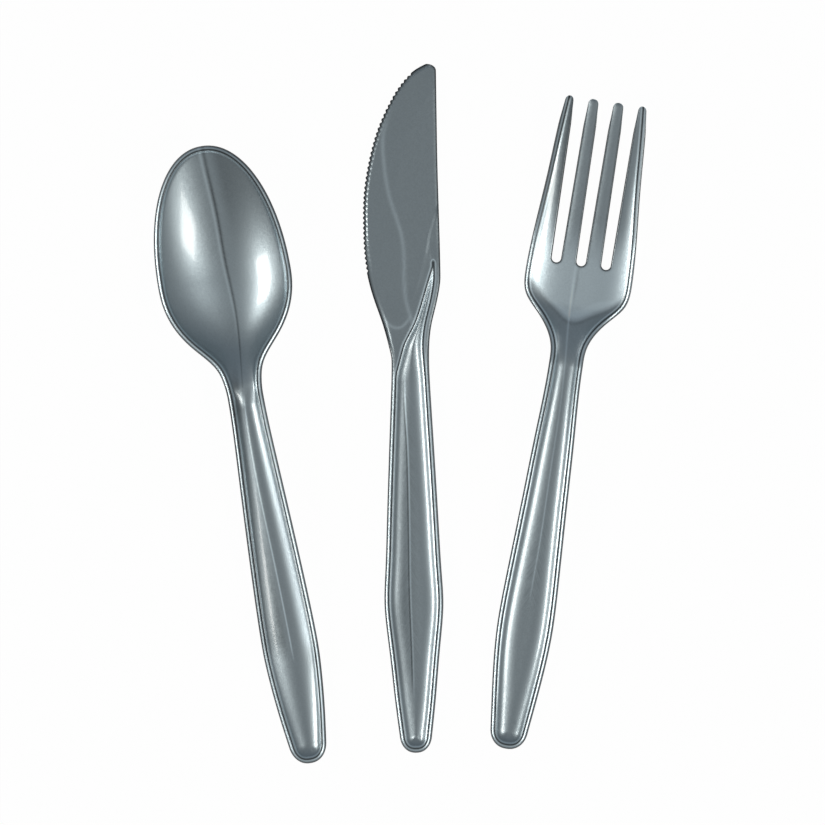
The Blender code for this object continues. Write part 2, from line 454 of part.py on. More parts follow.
def knife():
    neck_at = KNIFE_HANDLE_LENGTH
    tip_at = neck_at + KNIFE_BLADE_LENGTH
    deepest_at = neck_at + KNIFE_EDGE_DEEPEST
    shoulder_at = neck_at + KNIFE_SHOULDER_AT
    sweep_at = neck_at - KNIFE_SWEEP_START
    point_at = sweep_at + KNIFE_SWEEP_LENGTH
    crest = KNIFE_TROUGH_DEPTH + WALL - LAND_SINK
    face = crest - KNIFE_BLADE_STEP

    def handle_of(s):
        return handle_side(s, KNIFE_END_WIDTH, KNIFE_SWELL, KNIFE_HANDLE_WIDTH, KNIFE_WIDEST_AT,
                           KNIFE_TAPER, KNIFE_NECK_WIDTH, neck_at)

    def edge_of(s):
        """Middle line to the handle's left side and then the cutting edge, which sweeps across to the tip."""
        neck = (neck_at, KNIFE_NECK_WIDTH / 2)
        deepest = (deepest_at, KNIFE_EDGE_REACH)
        sweep = between(KNIFE_EDGE_SWEEP, deepest, (tip_at, -KNIFE_TIP_REACH))
        steep = KNIFE_TIP_STEEPNESS * (sweep[-1][1] - sweep[-2][1]) / (sweep[-1][0] - sweep[-2][0])
        return np.select([s < neck_at, s < deepest_at],
                         [handle_of(s), smooth_curve(between(KNIFE_EDGE_SWELL, neck, deepest), s)],
                         smooth_curve(sweep, s, 0, steep))

    def back_of(s):
        """Middle line to the handle's right side and then the back of the blade."""
        hump = (shoulder_at, KNIFE_SHOULDER_REACH)
        rise = smooth_curve(between(KNIFE_BACK_SWELL, (neck_at, KNIFE_NECK_WIDTH / 2), hump), s)
        settle = ease((s - shoulder_at) / (deepest_at - neck_at))
        back = KNIFE_SHOULDER_REACH + (KNIFE_SPINE_REACH - KNIFE_SHOULDER_REACH) * settle
        tip = end_width_share(end_share(s, tip_at, KNIFE_TIP_ROUND), 2)
        back = KNIFE_TIP_REACH + (back - KNIFE_TIP_REACH) * tip
        return np.select([s < neck_at, s < shoulder_at], [handle_of(s), rise], back)

    def slope_of(side_of, s):
        return (side_of(s + SAME_POINT) - side_of(s - SAME_POINT)) / (2 * SAME_POINT)

    def trough_sides(s):
        """The crests beside the trough. The left one crosses over to the spine, where the trough ends."""
        left, right = RIM_WIDTH - edge_of(s), back_of(s) - RIM_WIDTH
        right = right + ease((s - sweep_at) / KNIFE_SWEEP_START / 2) * (RIM_WIDTH - KNIFE_SPINE_RIM)
        start = (sweep_at, RIM_WIDTH - handle_of(np.array(sweep_at)))
        end = (point_at, back_of(np.array(point_at)) - KNIFE_SPINE_RIM)
        last_slope = (end[1] - start[1]) / KNIFE_SWEEP_LENGTH
        crossing = smooth_curve(between(KNIFE_RIM_SWEEP, start, end), s, 0, last_slope)
        left = np.where(s < sweep_at, left, crossing)
        return np.minimum(left, right - RIM_WIDTH / 4), right

    def blade_share(s):
        return ease((s - neck_at + KNIFE_SWEEP_START / 2) / (2 * KNIFE_SWEEP_START))

    def top_columns(s):
        """The columns follow the edge, the crossing rim and the back, then spread evenly over the blade."""
        left, right = -edge_of(s), back_of(s)
        end = end_width_share(end_share(s, 0, KNIFE_END_LENGTH), END_ROUNDNESS)
        trough_left, trough_right = trough_sides(s)
        room = trough_left - left
        on_rim = left + room * np.array(KNIFE_RIM_COLUMNS)
        on_blade = [left, left + KNIFE_EDGE_BAND, left + room / 2, trough_left - RIM_WIDTH]
        on_blade = np.concatenate(on_blade, axis=1)
        outside = on_rim + blade_share(s) * (on_blade - on_rim)
        inside = trough_left + (trough_right - trough_left) * np.array(KNIFE_TROUGH_COLUMNS)
        back = trough_right + (right - trough_right) * np.array(KNIFE_BACK_COLUMNS)
        x = np.concatenate([outside, inside, back], axis=1)
        face_left = left + KNIFE_EDGE_BAND * (s < tip_at - KNIFE_TIP_ROUND)
        even = face_left + (right - face_left) * np.linspace(0, 1, x.shape[1] - 1)
        even = np.concatenate([left, (left + even[:, 1:2]) / 2, even[:, 1:]], axis=1)
        spread = ease((s - point_at) / KNIFE_SPREAD_RUN)
        return end * (x + spread * (even - x))

    def heights(x, s):
        left_gap = (x + edge_of(s)) / np.hypot(1, slope_of(edge_of, s))
        right_gap = (back_of(s) - x) / np.hypot(1, slope_of(back_of, s))
        share = end_share(s, 0, KNIFE_END_LENGTH)
        e = edge_distance(x, handle_of(s), slope_of(handle_of, s), share, KNIFE_END_LENGTH, END_ROUNDNESS)
        e = np.where(s < KNIFE_END_LENGTH, e, np.maximum(np.minimum(left_gap, right_gap), 0))
        trough_left, trough_right = trough_sides(s)
        inward = np.minimum(x - trough_left, trough_right - x)
        inward = np.where(s < KNIFE_WIDEST_AT, e - RIM_WIDTH, inward)
        trough = KNIFE_TROUGH_DEPTH * trough_share(inward, KNIFE_WALL_RUN)
        blade = blade_share(s)
        beside_rim = ease((trough_left - x) / RIM_WIDTH)
        beyond_point = ease((s - point_at) / KNIFE_STEP_RUN)
        step = KNIFE_BLADE_STEP * np.maximum(beside_rim, beyond_point) * blade
        hollow = KNIFE_HOLLOW * (1 - np.clip(left_gap / KNIFE_GRIND_WIDTH, 0, 1))
        band = face - KNIFE_HOLLOW - KNIFE_BLADE_UNDER - KNIFE_EDGE_THICKNESS
        band = band * (1 - np.clip(left_gap / KNIFE_EDGE_BAND, 0, 1))
        roll = np.where(x < 0, RIM_ROLL * (1 - blade), RIM_ROLL * (1 - blade / 2))
        top = crest - roll_drop(e, roll) - trough - step - blade * (hollow + band)
        under_blade = ease((s - neck_at) / KNIFE_UNDER_RUN)
        bottom = underside(crest, trough, e, RIM_ROLL, WALL)
        bottom = bottom + under_blade * (KNIFE_BLADE_UNDER - bottom)
        return top, bottom

    def teeth():
        """Places of the teeth's tips and of the notches between them, at even steps along the cutting edge."""
        s = np.linspace(neck_at + KNIFE_TEETH_START, tip_at - KNIFE_TEETH_MARGIN, EDGE_SAMPLES)
        along = np.concatenate([[0], np.cumsum(np.hypot(np.diff(s), np.diff(edge_of(s))))])
        count = round(along[-1] / KNIFE_TOOTH_PITCH)
        return np.interp(np.linspace(0, along[-1], 2 * count + 1), along, s)

    before_teeth = np.concatenate([
        end_rows(KNIFE_END_LENGTH, 6),
        np.linspace(KNIFE_END_LENGTH, sweep_at, 12)[1:],
        np.linspace(sweep_at, neck_at + KNIFE_TEETH_START, 14)[1:-1],
    ])
    tooth_rows = teeth()
    tip_rows = tip_at - end_rows(KNIFE_TEETH_MARGIN, 6)[::-1][1:]
    rows = np.concatenate([before_teeth, tooth_rows, tip_rows])[:, None]
    notch = np.zeros_like(rows)
    notch[len(before_teeth) + 1:len(before_teeth) + len(tooth_rows):2] = KNIFE_TOOTH_DEPTH

    def with_teeth(x):
        """Moves the edge's points into the notches, straight in from the cutting edge."""
        places = np.broadcast_to(rows, x.shape).copy()
        slope = slope_of(edge_of, rows)
        x[:, :1] += notch / np.hypot(1, slope)
        places[:, :1] += notch * slope / np.hypot(1, slope)
        return x, places

    x, places = with_teeth(top_columns(rows))
    top = grid(x, places, heights(x, places)[0])
    end = end_width_share(end_share(rows, 0, KNIFE_END_LENGTH), END_ROUNDNESS)
    shares = (1 + mirrored(KNIFE_UNDER_COLUMNS)) / 2
    x, places = with_teeth(end * (-edge_of(rows) + (edge_of(rows) + back_of(rows)) * shares))
    bottom = grid(x, places, heights(x, places)[1])
    return add_piece("knife", (0.0, 0.0), KNIFE_TURN, [(top, bottom)])


def centre_set(pieces):
    """Moves the pieces together, so that the middle of their box is over the origin."""
    corners = np.array([piece.matrix_world @ v.co for piece in pieces for v in piece.data.vertices])
    middle = (corners.min(axis=0) + corners.max(axis=0)) / 2
    for piece in pieces:
        piece.location.x -= middle[0]
        piece.location.y -= middle[1]


for thing in list(bpy.data.objects):
    bpy.data.objects.remove(thing, do_unlink=True)
centre_set([spoon(), knife(), fork()])
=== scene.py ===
# Three pieces of silver plastic cutlery lying on a white table, seen from straight above.
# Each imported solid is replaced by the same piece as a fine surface, worked out from the same sizes.
# Lengths are millimetres in the piece's own frame: x across it, s from the handle's end, z up from the table.

import math

import bmesh
import bpy
import numpy as np
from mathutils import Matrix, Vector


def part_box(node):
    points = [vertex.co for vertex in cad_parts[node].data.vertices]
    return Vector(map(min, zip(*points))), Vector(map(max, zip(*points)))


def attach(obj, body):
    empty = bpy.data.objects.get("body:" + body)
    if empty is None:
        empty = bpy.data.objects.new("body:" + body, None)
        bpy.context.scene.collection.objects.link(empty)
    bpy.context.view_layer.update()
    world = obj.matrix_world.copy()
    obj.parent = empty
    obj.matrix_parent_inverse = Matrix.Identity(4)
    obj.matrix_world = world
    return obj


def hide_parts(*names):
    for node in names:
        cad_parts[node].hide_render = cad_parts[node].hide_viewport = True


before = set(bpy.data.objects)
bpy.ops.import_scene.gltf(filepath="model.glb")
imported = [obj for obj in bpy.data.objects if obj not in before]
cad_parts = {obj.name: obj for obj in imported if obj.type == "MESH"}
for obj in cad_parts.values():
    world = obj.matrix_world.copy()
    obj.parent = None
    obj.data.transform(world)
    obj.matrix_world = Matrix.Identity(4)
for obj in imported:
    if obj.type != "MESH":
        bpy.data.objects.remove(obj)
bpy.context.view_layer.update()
mm = 0.001

# The moulding's wall and rim, the same on all three pieces
rim = {
    "wall": 1.4,
    "width": 1.2,  # outer edge to the crest
    "roll": 1.0,  # how far the crest rolls down to the edge
    "edgeHeight": 0.5,  # upright face under the roll
    "landSink": 0.2,  # how far the belly is cut flat where it rests
    "restLength": 12.0,  # level stretch at the end of a handle
    "endRoundness": 2.3,
    "wallShape": ((0.08, 0.06), (0.20, 0.31), (0.33, 0.58), (0.44, 0.725), (0.56, 0.835), (0.72, 0.935)),
    "spotHeight": 0.08,  # round mark of the ejector pin near the handle's end
    "spotRadius": 0.4,
    "lineSpacing": 0.35,  # between rows of the finished mesh
    "cornerAngle": 50.0,  # degrees, corners sharper than this stay crisp
}


# Curves and sections

# Cubic spline through (place, height) points, with the given slopes at its ends
def smoothCurve(points, at, startSlope=0.0, endSlope=0.0):
    x, y = np.array(points, float).T
    step = np.diff(x)
    rise = np.diff(y) / step
    system = np.zeros((len(x), len(x)))
    system[0, 0] = system[-1, -1] = 1.0
    right = np.zeros(len(x))
    right[0], right[-1] = startSlope, endSlope
    for i in range(1, len(x) - 1):
        system[i, i - 1:i + 2] = step[i], 2 * (step[i - 1] + step[i]), step[i - 1]
        right[i] = 3 * (step[i] * rise[i - 1] + step[i - 1] * rise[i])
    slope = np.linalg.solve(system, right)
    at = np.clip(at, x[0], x[-1])
    k = np.clip(np.searchsorted(x, at) - 1, 0, len(step) - 1)
    t = (at - x[k]) / step[k]
    start = y[k] * (1 + 2 * t) * (1 - t) ** 2 + step[k] * slope[k] * t * (1 - t) ** 2
    end = y[k + 1] * (3 - 2 * t) * t ** 2 + step[k] * slope[k + 1] * (t - 1) * t ** 2
    return start + end


# 0 below 0, 1 above 1, and a smooth step between
def ease(t):
    t = np.clip(t, 0, 1)
    return t * t * (3 - 2 * t)


# 0 at the first place and 1 at the second, which may be the lower one, with a smooth step between
def ramp(at, start, full):
    return ease((at - start) / (full - start))


# A bell of height 1 around 0, down to about a third at 1 and -1
def bell(t):
    return np.exp(-t * t)


# A shape's points, given as shares, laid between two (place, size) pairs
def between(shape, start, end):
    (x0, y0), (x1, y1) = start, end
    return [start, *[(x0 + (x1 - x0) * u, y0 + (y1 - y0) * v) for u, v in shape], end]


# Half width of a handle without its round end: it swells to its widest place, then tapers to the neck
def handleSide(s, size):
    wide, neck = size["handleWidth"] / 2, size["neckWidth"] / 2
    rise = between(size["swell"], (0, size["endWidth"] / 2), (size["widestAt"], wide))
    firstSlope = (rise[1][1] - rise[0][1]) / (rise[1][0] - rise[0][0])
    fall = between(size["taper"], (size["widestAt"], wide), (size["handleLength"], neck))
    return np.where(s < size["widestAt"], smoothCurve(rise, s, firstSlope), smoothCurve(fall, s))


# 1 at the outer end of a round end of this length, 0 from its root on
def endShare(s, end, length):
    return np.clip((length - np.abs(s - end)) / length, 0, 1)


# What a round end leaves of the width: a superellipse
def endWidthShare(share, roundness):
    return (1 - share ** roundness) ** (1 / roundness)


# Slope of a curve, from two places close beside each other
def slopeOf(curve, at, gap=0.001):
    return (curve(at + gap) - curve(at - gap)) / (2 * gap)


# Distance to the outline. R is 1 on the outline and 0 in the middle, and the rest of R up to 1 is turned
# into a length by how fast R grows at the outline.
def edgeDistance(x, side, sideSlope, share, shareLength, roundness):
    across = np.abs(x) / side
    r = np.maximum((across ** roundness + share ** roundness) ** (1 / roundness), 1e-6)
    q, v = across / r, share / r
    growsAcross = q ** (roundness - 1) / side
    growsAlong = v ** (roundness - 1) / shareLength - q ** roundness * sideSlope / side
    return np.maximum(1 - r, 0) / np.maximum(np.hypot(growsAcross, growsAlong), 1e-6)


# Drop of a rounded corner, a quarter of an ellipse, at distance e from its outer edge
def rollDrop(e, roll, width):
    t = np.clip(1 - e / width, 0, 1)
    return roll * (1 - np.sqrt(1 - t * t))


# Underside: at the edge just under the roll, two rim widths in one wall under the dish, flat on the table
def underside(crest, dish, e, roll):
    edgeDrop = roll + rim["edgeHeight"]
    full = 1 - (1 - np.clip(e / (2 * rim["width"]), 0, 1)) ** 2
    return np.maximum(crest - edgeDrop - full * (dish + rim["wall"] - edgeDrop), 0)


# 0 on the rim, 1 on the flat floor. The wall is steepest at a third of its run, then eases out.
def troughShare(inward, run):
    return smoothCurve(between(rim["wallShape"], (0, 0), (1, 1)), np.clip(inward / run, 0, 1))


# Height of a handle's crest: level where the handle rests, then up to the neck
def handleCrest(s, size):
    rest = size["troughDepth"] + rim["wall"] - rim["landSink"]
    return rest + (size["neckHeight"] - rest) * ramp(s, rim["restLength"], size["handleLength"])


# Height of the small round mark on the floor of a handle, a bell
def pinSpot(x, s, size):
    across, along = size["pinSpot"]
    return rim["spotHeight"] * bell(np.hypot(x - across, s - along) / rim["spotRadius"])


# Rows and columns

# Places along a round end, close together at its outer end. The first lies just inside that end.
def endRows(length, count, firstAngle=0.02):
    return length * (1 - np.cos(np.linspace(firstAngle, np.pi / 2, count)))


# Evenly spaced places from just after the start up to the end
def stretch(start, end, spacing):
    count = max(int(round((end - start) / spacing)), 1)
    return np.linspace(start, end, count + 1)[1:]


# Places across a piece from -1 to 1: close together over both rims, even in the middle
def columnPlaces(rimShare, rimCount, middleCount, crowding=1.2):
    left = -1 + rimShare * np.linspace(0, 1, rimCount) ** crowding
    middle = np.linspace(-1 + rimShare, 1 - rimShare, middleCount)[1:-1]
    return np.concatenate([left, middle, -left[::-1]])


# Meshes

# A new object in the scene
def addObject(name, data):
    added = bpy.data.objects.new(name, data)
    bpy.context.scene.collection.objects.link(added)
    return added


# Corner numbers of the quads between two neighbouring rows of a grid of points
def gridQuads(first, rows, columns):
    index = first + np.arange(rows * columns).reshape(rows, columns)
    return np.stack([index[:-1, :-1], index[:-1, 1:], index[1:, 1:], index[1:, :-1]], -1).reshape(-1, 4)


# Corner numbers of the quads between two lines of points with the same count
def wallQuads(a, b):
    return np.stack([a[:-1], b[:-1], b[1:], a[1:]], -1)


# One closed body out of bands, each a top and a bottom grid of points, both with the same rows.
# Neighbouring bands meet along one line before splitRow, and from there on each has a wall of its own.
def makePiece(name, bands, look, shade=None, splitRow=0):
    points, quads, caps, first = [], [], [], 0
    for number, (top, bottom) in enumerate(bands):
        rows, columns, lower = *top.shape[:2], bottom.shape[1]
        above = first + np.arange(rows * columns).reshape(rows, columns)
        below = above[-1, -1] + 1 + np.arange(rows * lower).reshape(rows, lower)
        quads.append(gridQuads(first, rows, columns))
        quads.append(gridQuads(below[0, 0], rows, lower)[:, ::-1])
        leftFrom = 0 if number == 0 else splitRow
        rightFrom = 0 if number == len(bands) - 1 else splitRow
        quads.append(wallQuads(below[leftFrom:, 0], above[leftFrom:, 0]))
        quads.append(wallQuads(above[rightFrom:, -1], below[rightFrom:, -1]))
        caps.append([*below[0], *above[0, ::-1]])
        caps.append([*above[-1], *below[-1, ::-1]])
        points += [top.reshape(-1, 5), bottom.reshape(-1, 5)]
        first = below[-1, -1] + 1
    points = np.concatenate(points)
    mesh = bpy.data.meshes.new(name)
    faces = [*np.concatenate(quads).tolist(), *caps]
    mesh.from_pydata((points[:, :3] * mm).tolist(), [], faces)
    for kind, values in toneVectors(points, look, shade).items():
        attribute = mesh.attributes.new(kind, "FLOAT_VECTOR", "POINT")
        attribute.data.foreach_set("vector", values.astype(np.float32).ravel())
    work = bmesh.new()
    work.from_mesh(mesh)
    bmesh.ops.remove_doubles(work, verts=work.verts, dist=1e-6)
    bmesh.ops.recalc_face_normals(work, faces=work.faces)
    work.to_mesh(mesh)
    work.free()
    mesh.shade_smooth()
    mesh.set_sharp_from_angle(angle=math.radians(rim["cornerAngle"]))
    return addObject(name, mesh)


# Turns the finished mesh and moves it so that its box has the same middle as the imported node's
def layOn(piece, node, turn):
    co = np.empty(len(piece.data.vertices) * 3, np.float32)
    piece.data.vertices.foreach_get("co", co)
    co = co.reshape(-1, 3).astype(float)
    c, n = math.cos(math.radians(turn)), math.sin(math.radians(turn))
    co = co @ np.array(((c, n, 0), (-n, c, 0), (0, 0, 1)))
    low, high = (np.array(corner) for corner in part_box(node))
    shift = (low + high) / 2 - (co.min(0) + co.max(0)) / 2
    co[:, :2] += shift[:2]
    piece.data.vertices.foreach_set("co", co.astype(np.float32).ravel())
    piece.data.update()
    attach(piece, "root")
    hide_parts(node)
    moved = np.round(shift / mm, 2)
    print(f"{piece.name}: {len(piece.data.polygons)} faces, moved by {moved} mm onto {node}")
    return piece


# Points of a surface: x, s and z, then the distances to the rim's crest and to the outline
def grid(x, s, z, toCrest, toOutline):
    return np.stack(np.broadcast_arrays(x, s, z, toCrest, toOutline), axis=-1)


# A size that changes along the piece, from its (along, size) points
def sizeAt(points, s):
    return np.interp(s, *np.array(points, float).T)


# Soft patches painted lighter or darker, added up: most are painted highlights, sheen and shade, a few are
# tones of the plastic beside its flow line. Each has how much lighter it is, then its limits, along the piece
# or across from the flow line: a bell (middle, reach) or a ramp (start, full).
def paintedLightAndTonePatches(patches, gap, s):
    total = np.zeros_like(s)
    for lighter, *limits in patches:
        patch = np.full_like(s, lighter)
        for way, kind, first, second in limits:
            at = s if way == "along" else gap
            patch *= bell((at - first) / second) if kind == "bell" else ramp(at, first, second)
        total += patch
    return total


# The three vectors that the material reads at each point.
# flow: the gap across to the flow line, the place along, and how much lighter it is there, from the
# plastic's tones and from painted light and shade.
# flowTones: how strong the pale line, the dark line and the feathers beside it are.
# rimLines: the distance to the rim's crest and to the outline, along which shade and highlights are painted,
# and the gap to the dark line.
def toneVectors(points, look, shade):
    x, s, toCrest, toOutline = points[:, 0], points[:, 1], points[:, 3], points[:, 4]
    gap = x - smoothCurve(look["flowLine"], s)
    spread = sizeAt(look["lineSpread"], s)
    light = paintedLightAndTonePatches(look["paintedLightAndTones"], gap, s)
    if shade:
        light += shade(x, s)
    return {
        "flow": np.stack([gap / spread, s, light], -1),
        "flowTones": np.stack([sizeAt(look[kind], s) for kind in ("paleLine", "darkLine", "feathers")], -1),
        "rimLines": np.stack([toCrest, toOutline, (gap - sizeAt(look["darkAt"], s)) / spread], -1),
    }


# Spoon

spoonLook = {
    "turn": 10.06,  # degrees, the bowl leans to the left
    "handleLength": 103.0,  # handle's end to the neck
    "shoulderLength": 33.3,  # neck to the widest place of the bowl
    "tipLength": 36.8,  # widest place to the tip
    "endLength": 5.2,
    "endWidth": 9.0,
    "handleWidth": 15.5,
    "widestAt": 33.0,
    "neckWidth": 9.9,
    "bowlWidth": 37.0,
    "troughDepth": 1.9,
    "neckDepth": 2.2,
    "saddleDepth": 0.7,  # shallow place between the handle's trough and the bowl
    "saddleStart": 3.0,  # before the neck, where the trough starts to run out
    "saddleAt": 4.0,  # after the neck, where it is shallowest
    "sinkStart": 2.0,  # after the neck, where the bowl starts to sink
    "sinkRun": 9.5,  # how soon it gets deep
    "bowlDepth": 7.0,
    "bellyDepth": 0.6,  # the bowl is deepest between its middle and the handle
    "bellyAt": 22.0,  # after the neck, the deepest place
    "bellyReach": 13.0,
    "bowlSink": 0.3,  # how far the bowl's belly is cut flat where it rests
    "neckHeight": 9.6,  # table to the rim at the neck
    "tipLift": 2.8,  # the tip's rim above the rim beside the bowl
    "dishPower": 0.9,  # 1 gives a parabola, less gives steeper sides
    "bowlRoundness": 2.1,
    "swell": ((0.44, 0.60), (0.72, 0.87)),
    "taper": ((0.18, 0.10), (0.49, 0.44), (0.75, 0.78)),
    "shoulder": ((0.14, 0.03), (0.27, 0.135), (0.47, 0.53), (0.67, 0.84), (0.87, 0.98)),
    # Where the plastic's two streams met: (along, across)
    "flowLine": ((0, 0.3), (34.5, 0.19), (60, -0.4), (91, -1.0), (101.6, -0.6), (114, 0.24),
                 (127, 0.75), (140, 0.1), (153, 0.05), (162, -0.3), (173, -0.7)),
    "paleLine": ((28, 0), (33, 1.0), (95, 1.4), (104, 0.2), (118, 0.1), (130, 0.35), (168, 0.45)),
    "darkLine": ((95, 0), (104, 0.4), (115, 0.6), (160, 0.6), (172, 0.4)),
    "lineSpread": ((0, 1.0), (112, 1.0), (130, 1.7), (173, 2.2)),
    "darkAt": ((0, -0.42), (96, -0.42), (106, 0.0), (118, 0.3), (135, 0.8), (173, 1.1)),
    "feathers": ((110, 0), (120, 0.15), (160, 0.1), (172, 0)),
    "rimShoulder": 0.55,  # rounding where the rim turns down into the bowl
    "stepDepth": 0.4,  # small step down inside the rim, all round the bowl
    "stepRun": 0.8,
    "stepShift": 0.7,  # further in on the bowl's shoulders
    "stepShoulder": (8.0, 11.0),  # middle of the shoulders after the saddle, and their reach
    "pinSpot": (1.1, 3.5),  # across, along
    "paintedLightAndTones": (
        (0.06, ("along", "ramp", 138, 163), ("across", "bell", 1.6, 1.2)),  # beside the line to the tip
        (-0.3, ("along", "ramp", 138, 163), ("across", "ramp", 2.2, 5.2)),  # the rest right of it, darker plastic deepened with painted shade
        # painted highlight on the handle right of the line, and painted shade on its floor left of it
        (0.7, ("along", "ramp", 28, 36), ("along", "ramp", 104, 98), ("across", "ramp", 2.0, 4.5)),
        (-0.4, ("along", "ramp", 28, 36), ("along", "ramp", 104, 98), ("across", "ramp", -0.5, -2.0)),
        (-0.6, ("along", "bell", 104, 5), ("across", "ramp", -0.3, -1.5)),  # painted shade on the left side of the neck
        (0.45, ("along", "bell", 134, 11), ("across", "bell", -7, 7)),  # painted sheen on the bowl's left
        (0.25, ("along", "bell", 127, 8), ("across", "bell", 6, 6)),  # and on its right
        (0.25, ("along", "bell", 111, 8)),  # painted light where the bowl begins
    ),
    "endRowCount": 26,
    "tipRowCount": 130,
    # Rim's share of the half width, columns over it, columns between the rims
    "topColumns": (0.3, 34, 50),
    "bottomColumns": (0.2, 6, 18),
}


# Places along the spoon
spoonNeck = spoonLook["handleLength"]
spoonWidest = spoonNeck + spoonLook["shoulderLength"]
spoonTip = spoonWidest + spoonLook["tipLength"]


# Half width: the handle's up to the neck, then an S-shaped curve out to the bowl's widest place
def spoonSide(s):
    size = spoonLook
    wide = (spoonWidest, size["bowlWidth"] / 2)
    shoulder = between(size["shoulder"], (spoonNeck, size["neckWidth"] / 2), wide)
    return np.where(s < spoonNeck, handleSide(s, size), smoothCurve(shoulder, s))


# Height of the top and of the underside at places across, where 1 is the edge. The top is the crest less
# the rolled edge and the dish. The dish is a power of a parabola, (1 - R squared), times the depth there,
# which goes from the handle's trough over the saddle to the bowl, plus a small step inside the bowl's rim.
def spoonSurfaces(s, places):
    size = spoonLook
    bowlHeight = size["bowlDepth"] + size["bellyDepth"] + size["stepDepth"] + rim["wall"] - size["bowlSink"]
    side, slope = spoonSide(s), slopeOf(spoonSide, s)
    atTip = s > spoonWidest
    share = np.where(atTip, endShare(s, spoonTip, size["tipLength"]), endShare(s, 0, size["endLength"]))
    length = np.where(atTip, size["tipLength"], size["endLength"])
    roundness = np.where(atTip, size["bowlRoundness"], rim["endRoundness"])
    x = side * endWidthShare(share, roundness) * places
    e = edgeDistance(x, side, slope, share, length, roundness)
    saddleAt, bellyAt = spoonNeck + size["saddleAt"], spoonNeck + size["bellyAt"]
    intoSaddle = ramp(s, spoonNeck - size["saddleStart"], saddleAt)
    intoBowl = 1 - bell(np.maximum(s - spoonNeck - size["sinkStart"], 0) / size["sinkRun"])
    crest = handleCrest(s, size)
    crest += (bowlHeight - size["neckHeight"]) * intoBowl
    crest += size["tipLift"] * ease((s - spoonWidest) / size["tipLength"])
    depth = size["troughDepth"] + (size["neckDepth"] - size["troughDepth"]) * ease(s / spoonNeck)
    depth = depth + (size["saddleDepth"] - depth) * intoSaddle
    depth = depth + (size["bowlDepth"] - depth) * intoBowl
    depth = depth + size["bellyDepth"] * bell((s - bellyAt) / size["bellyReach"]) * intoBowl
    r = ((np.abs(x) / side) ** roundness + share ** roundness) ** (1 / roundness)
    crestR = np.where(r < 1, 1 - rim["width"] * (1 - r) / np.maximum(e, 1e-3), 1)
    dish = depth * (1 - np.minimum(r / crestR, 1) ** 2) ** size["dishPower"]
    inward = np.maximum(e - rim["width"], 0)
    dish = dish * (1 - np.exp(-(inward / size["rimShoulder"]) ** 2))
    shoulderAt, shoulderReach = size["stepShoulder"]
    onShoulder = bell((s - saddleAt - shoulderAt) / shoulderReach)
    step = ease((inward - size["stepShift"] * onShoulder) / size["stepRun"])
    dish = dish + size["stepDepth"] * intoSaddle * step
    top = crest - rollDrop(e, rim["roll"], rim["width"]) - dish + pinSpot(x, s, size)
    bottom = underside(crest, dish, e, rim["roll"])
    return grid(x, s, top, e - rim["width"], e), grid(x, s, bottom, e - rim["width"], e)


# Rows from the handle's end to the tip, columns across them, and both surfaces there as one closed body
def makeSpoon():
    size = spoonLook
    rows = np.concatenate([
        endRows(size["endLength"], size["endRowCount"]),
        stretch(size["endLength"], spoonWidest, rim["lineSpacing"]),
        spoonTip - endRows(size["tipLength"], size["tipRowCount"])[::-1][1:],
    ])[:, None]
    top = spoonSurfaces(rows, columnPlaces(*size["topColumns"]))[0]
    bottom = spoonSurfaces(rows, columnPlaces(*size["bottomColumns"]))[1]
    piece = makePiece("spoon_moulding", [(top, bottom)], size)
    return layOn(piece, "spoon", size["turn"])


# Fork

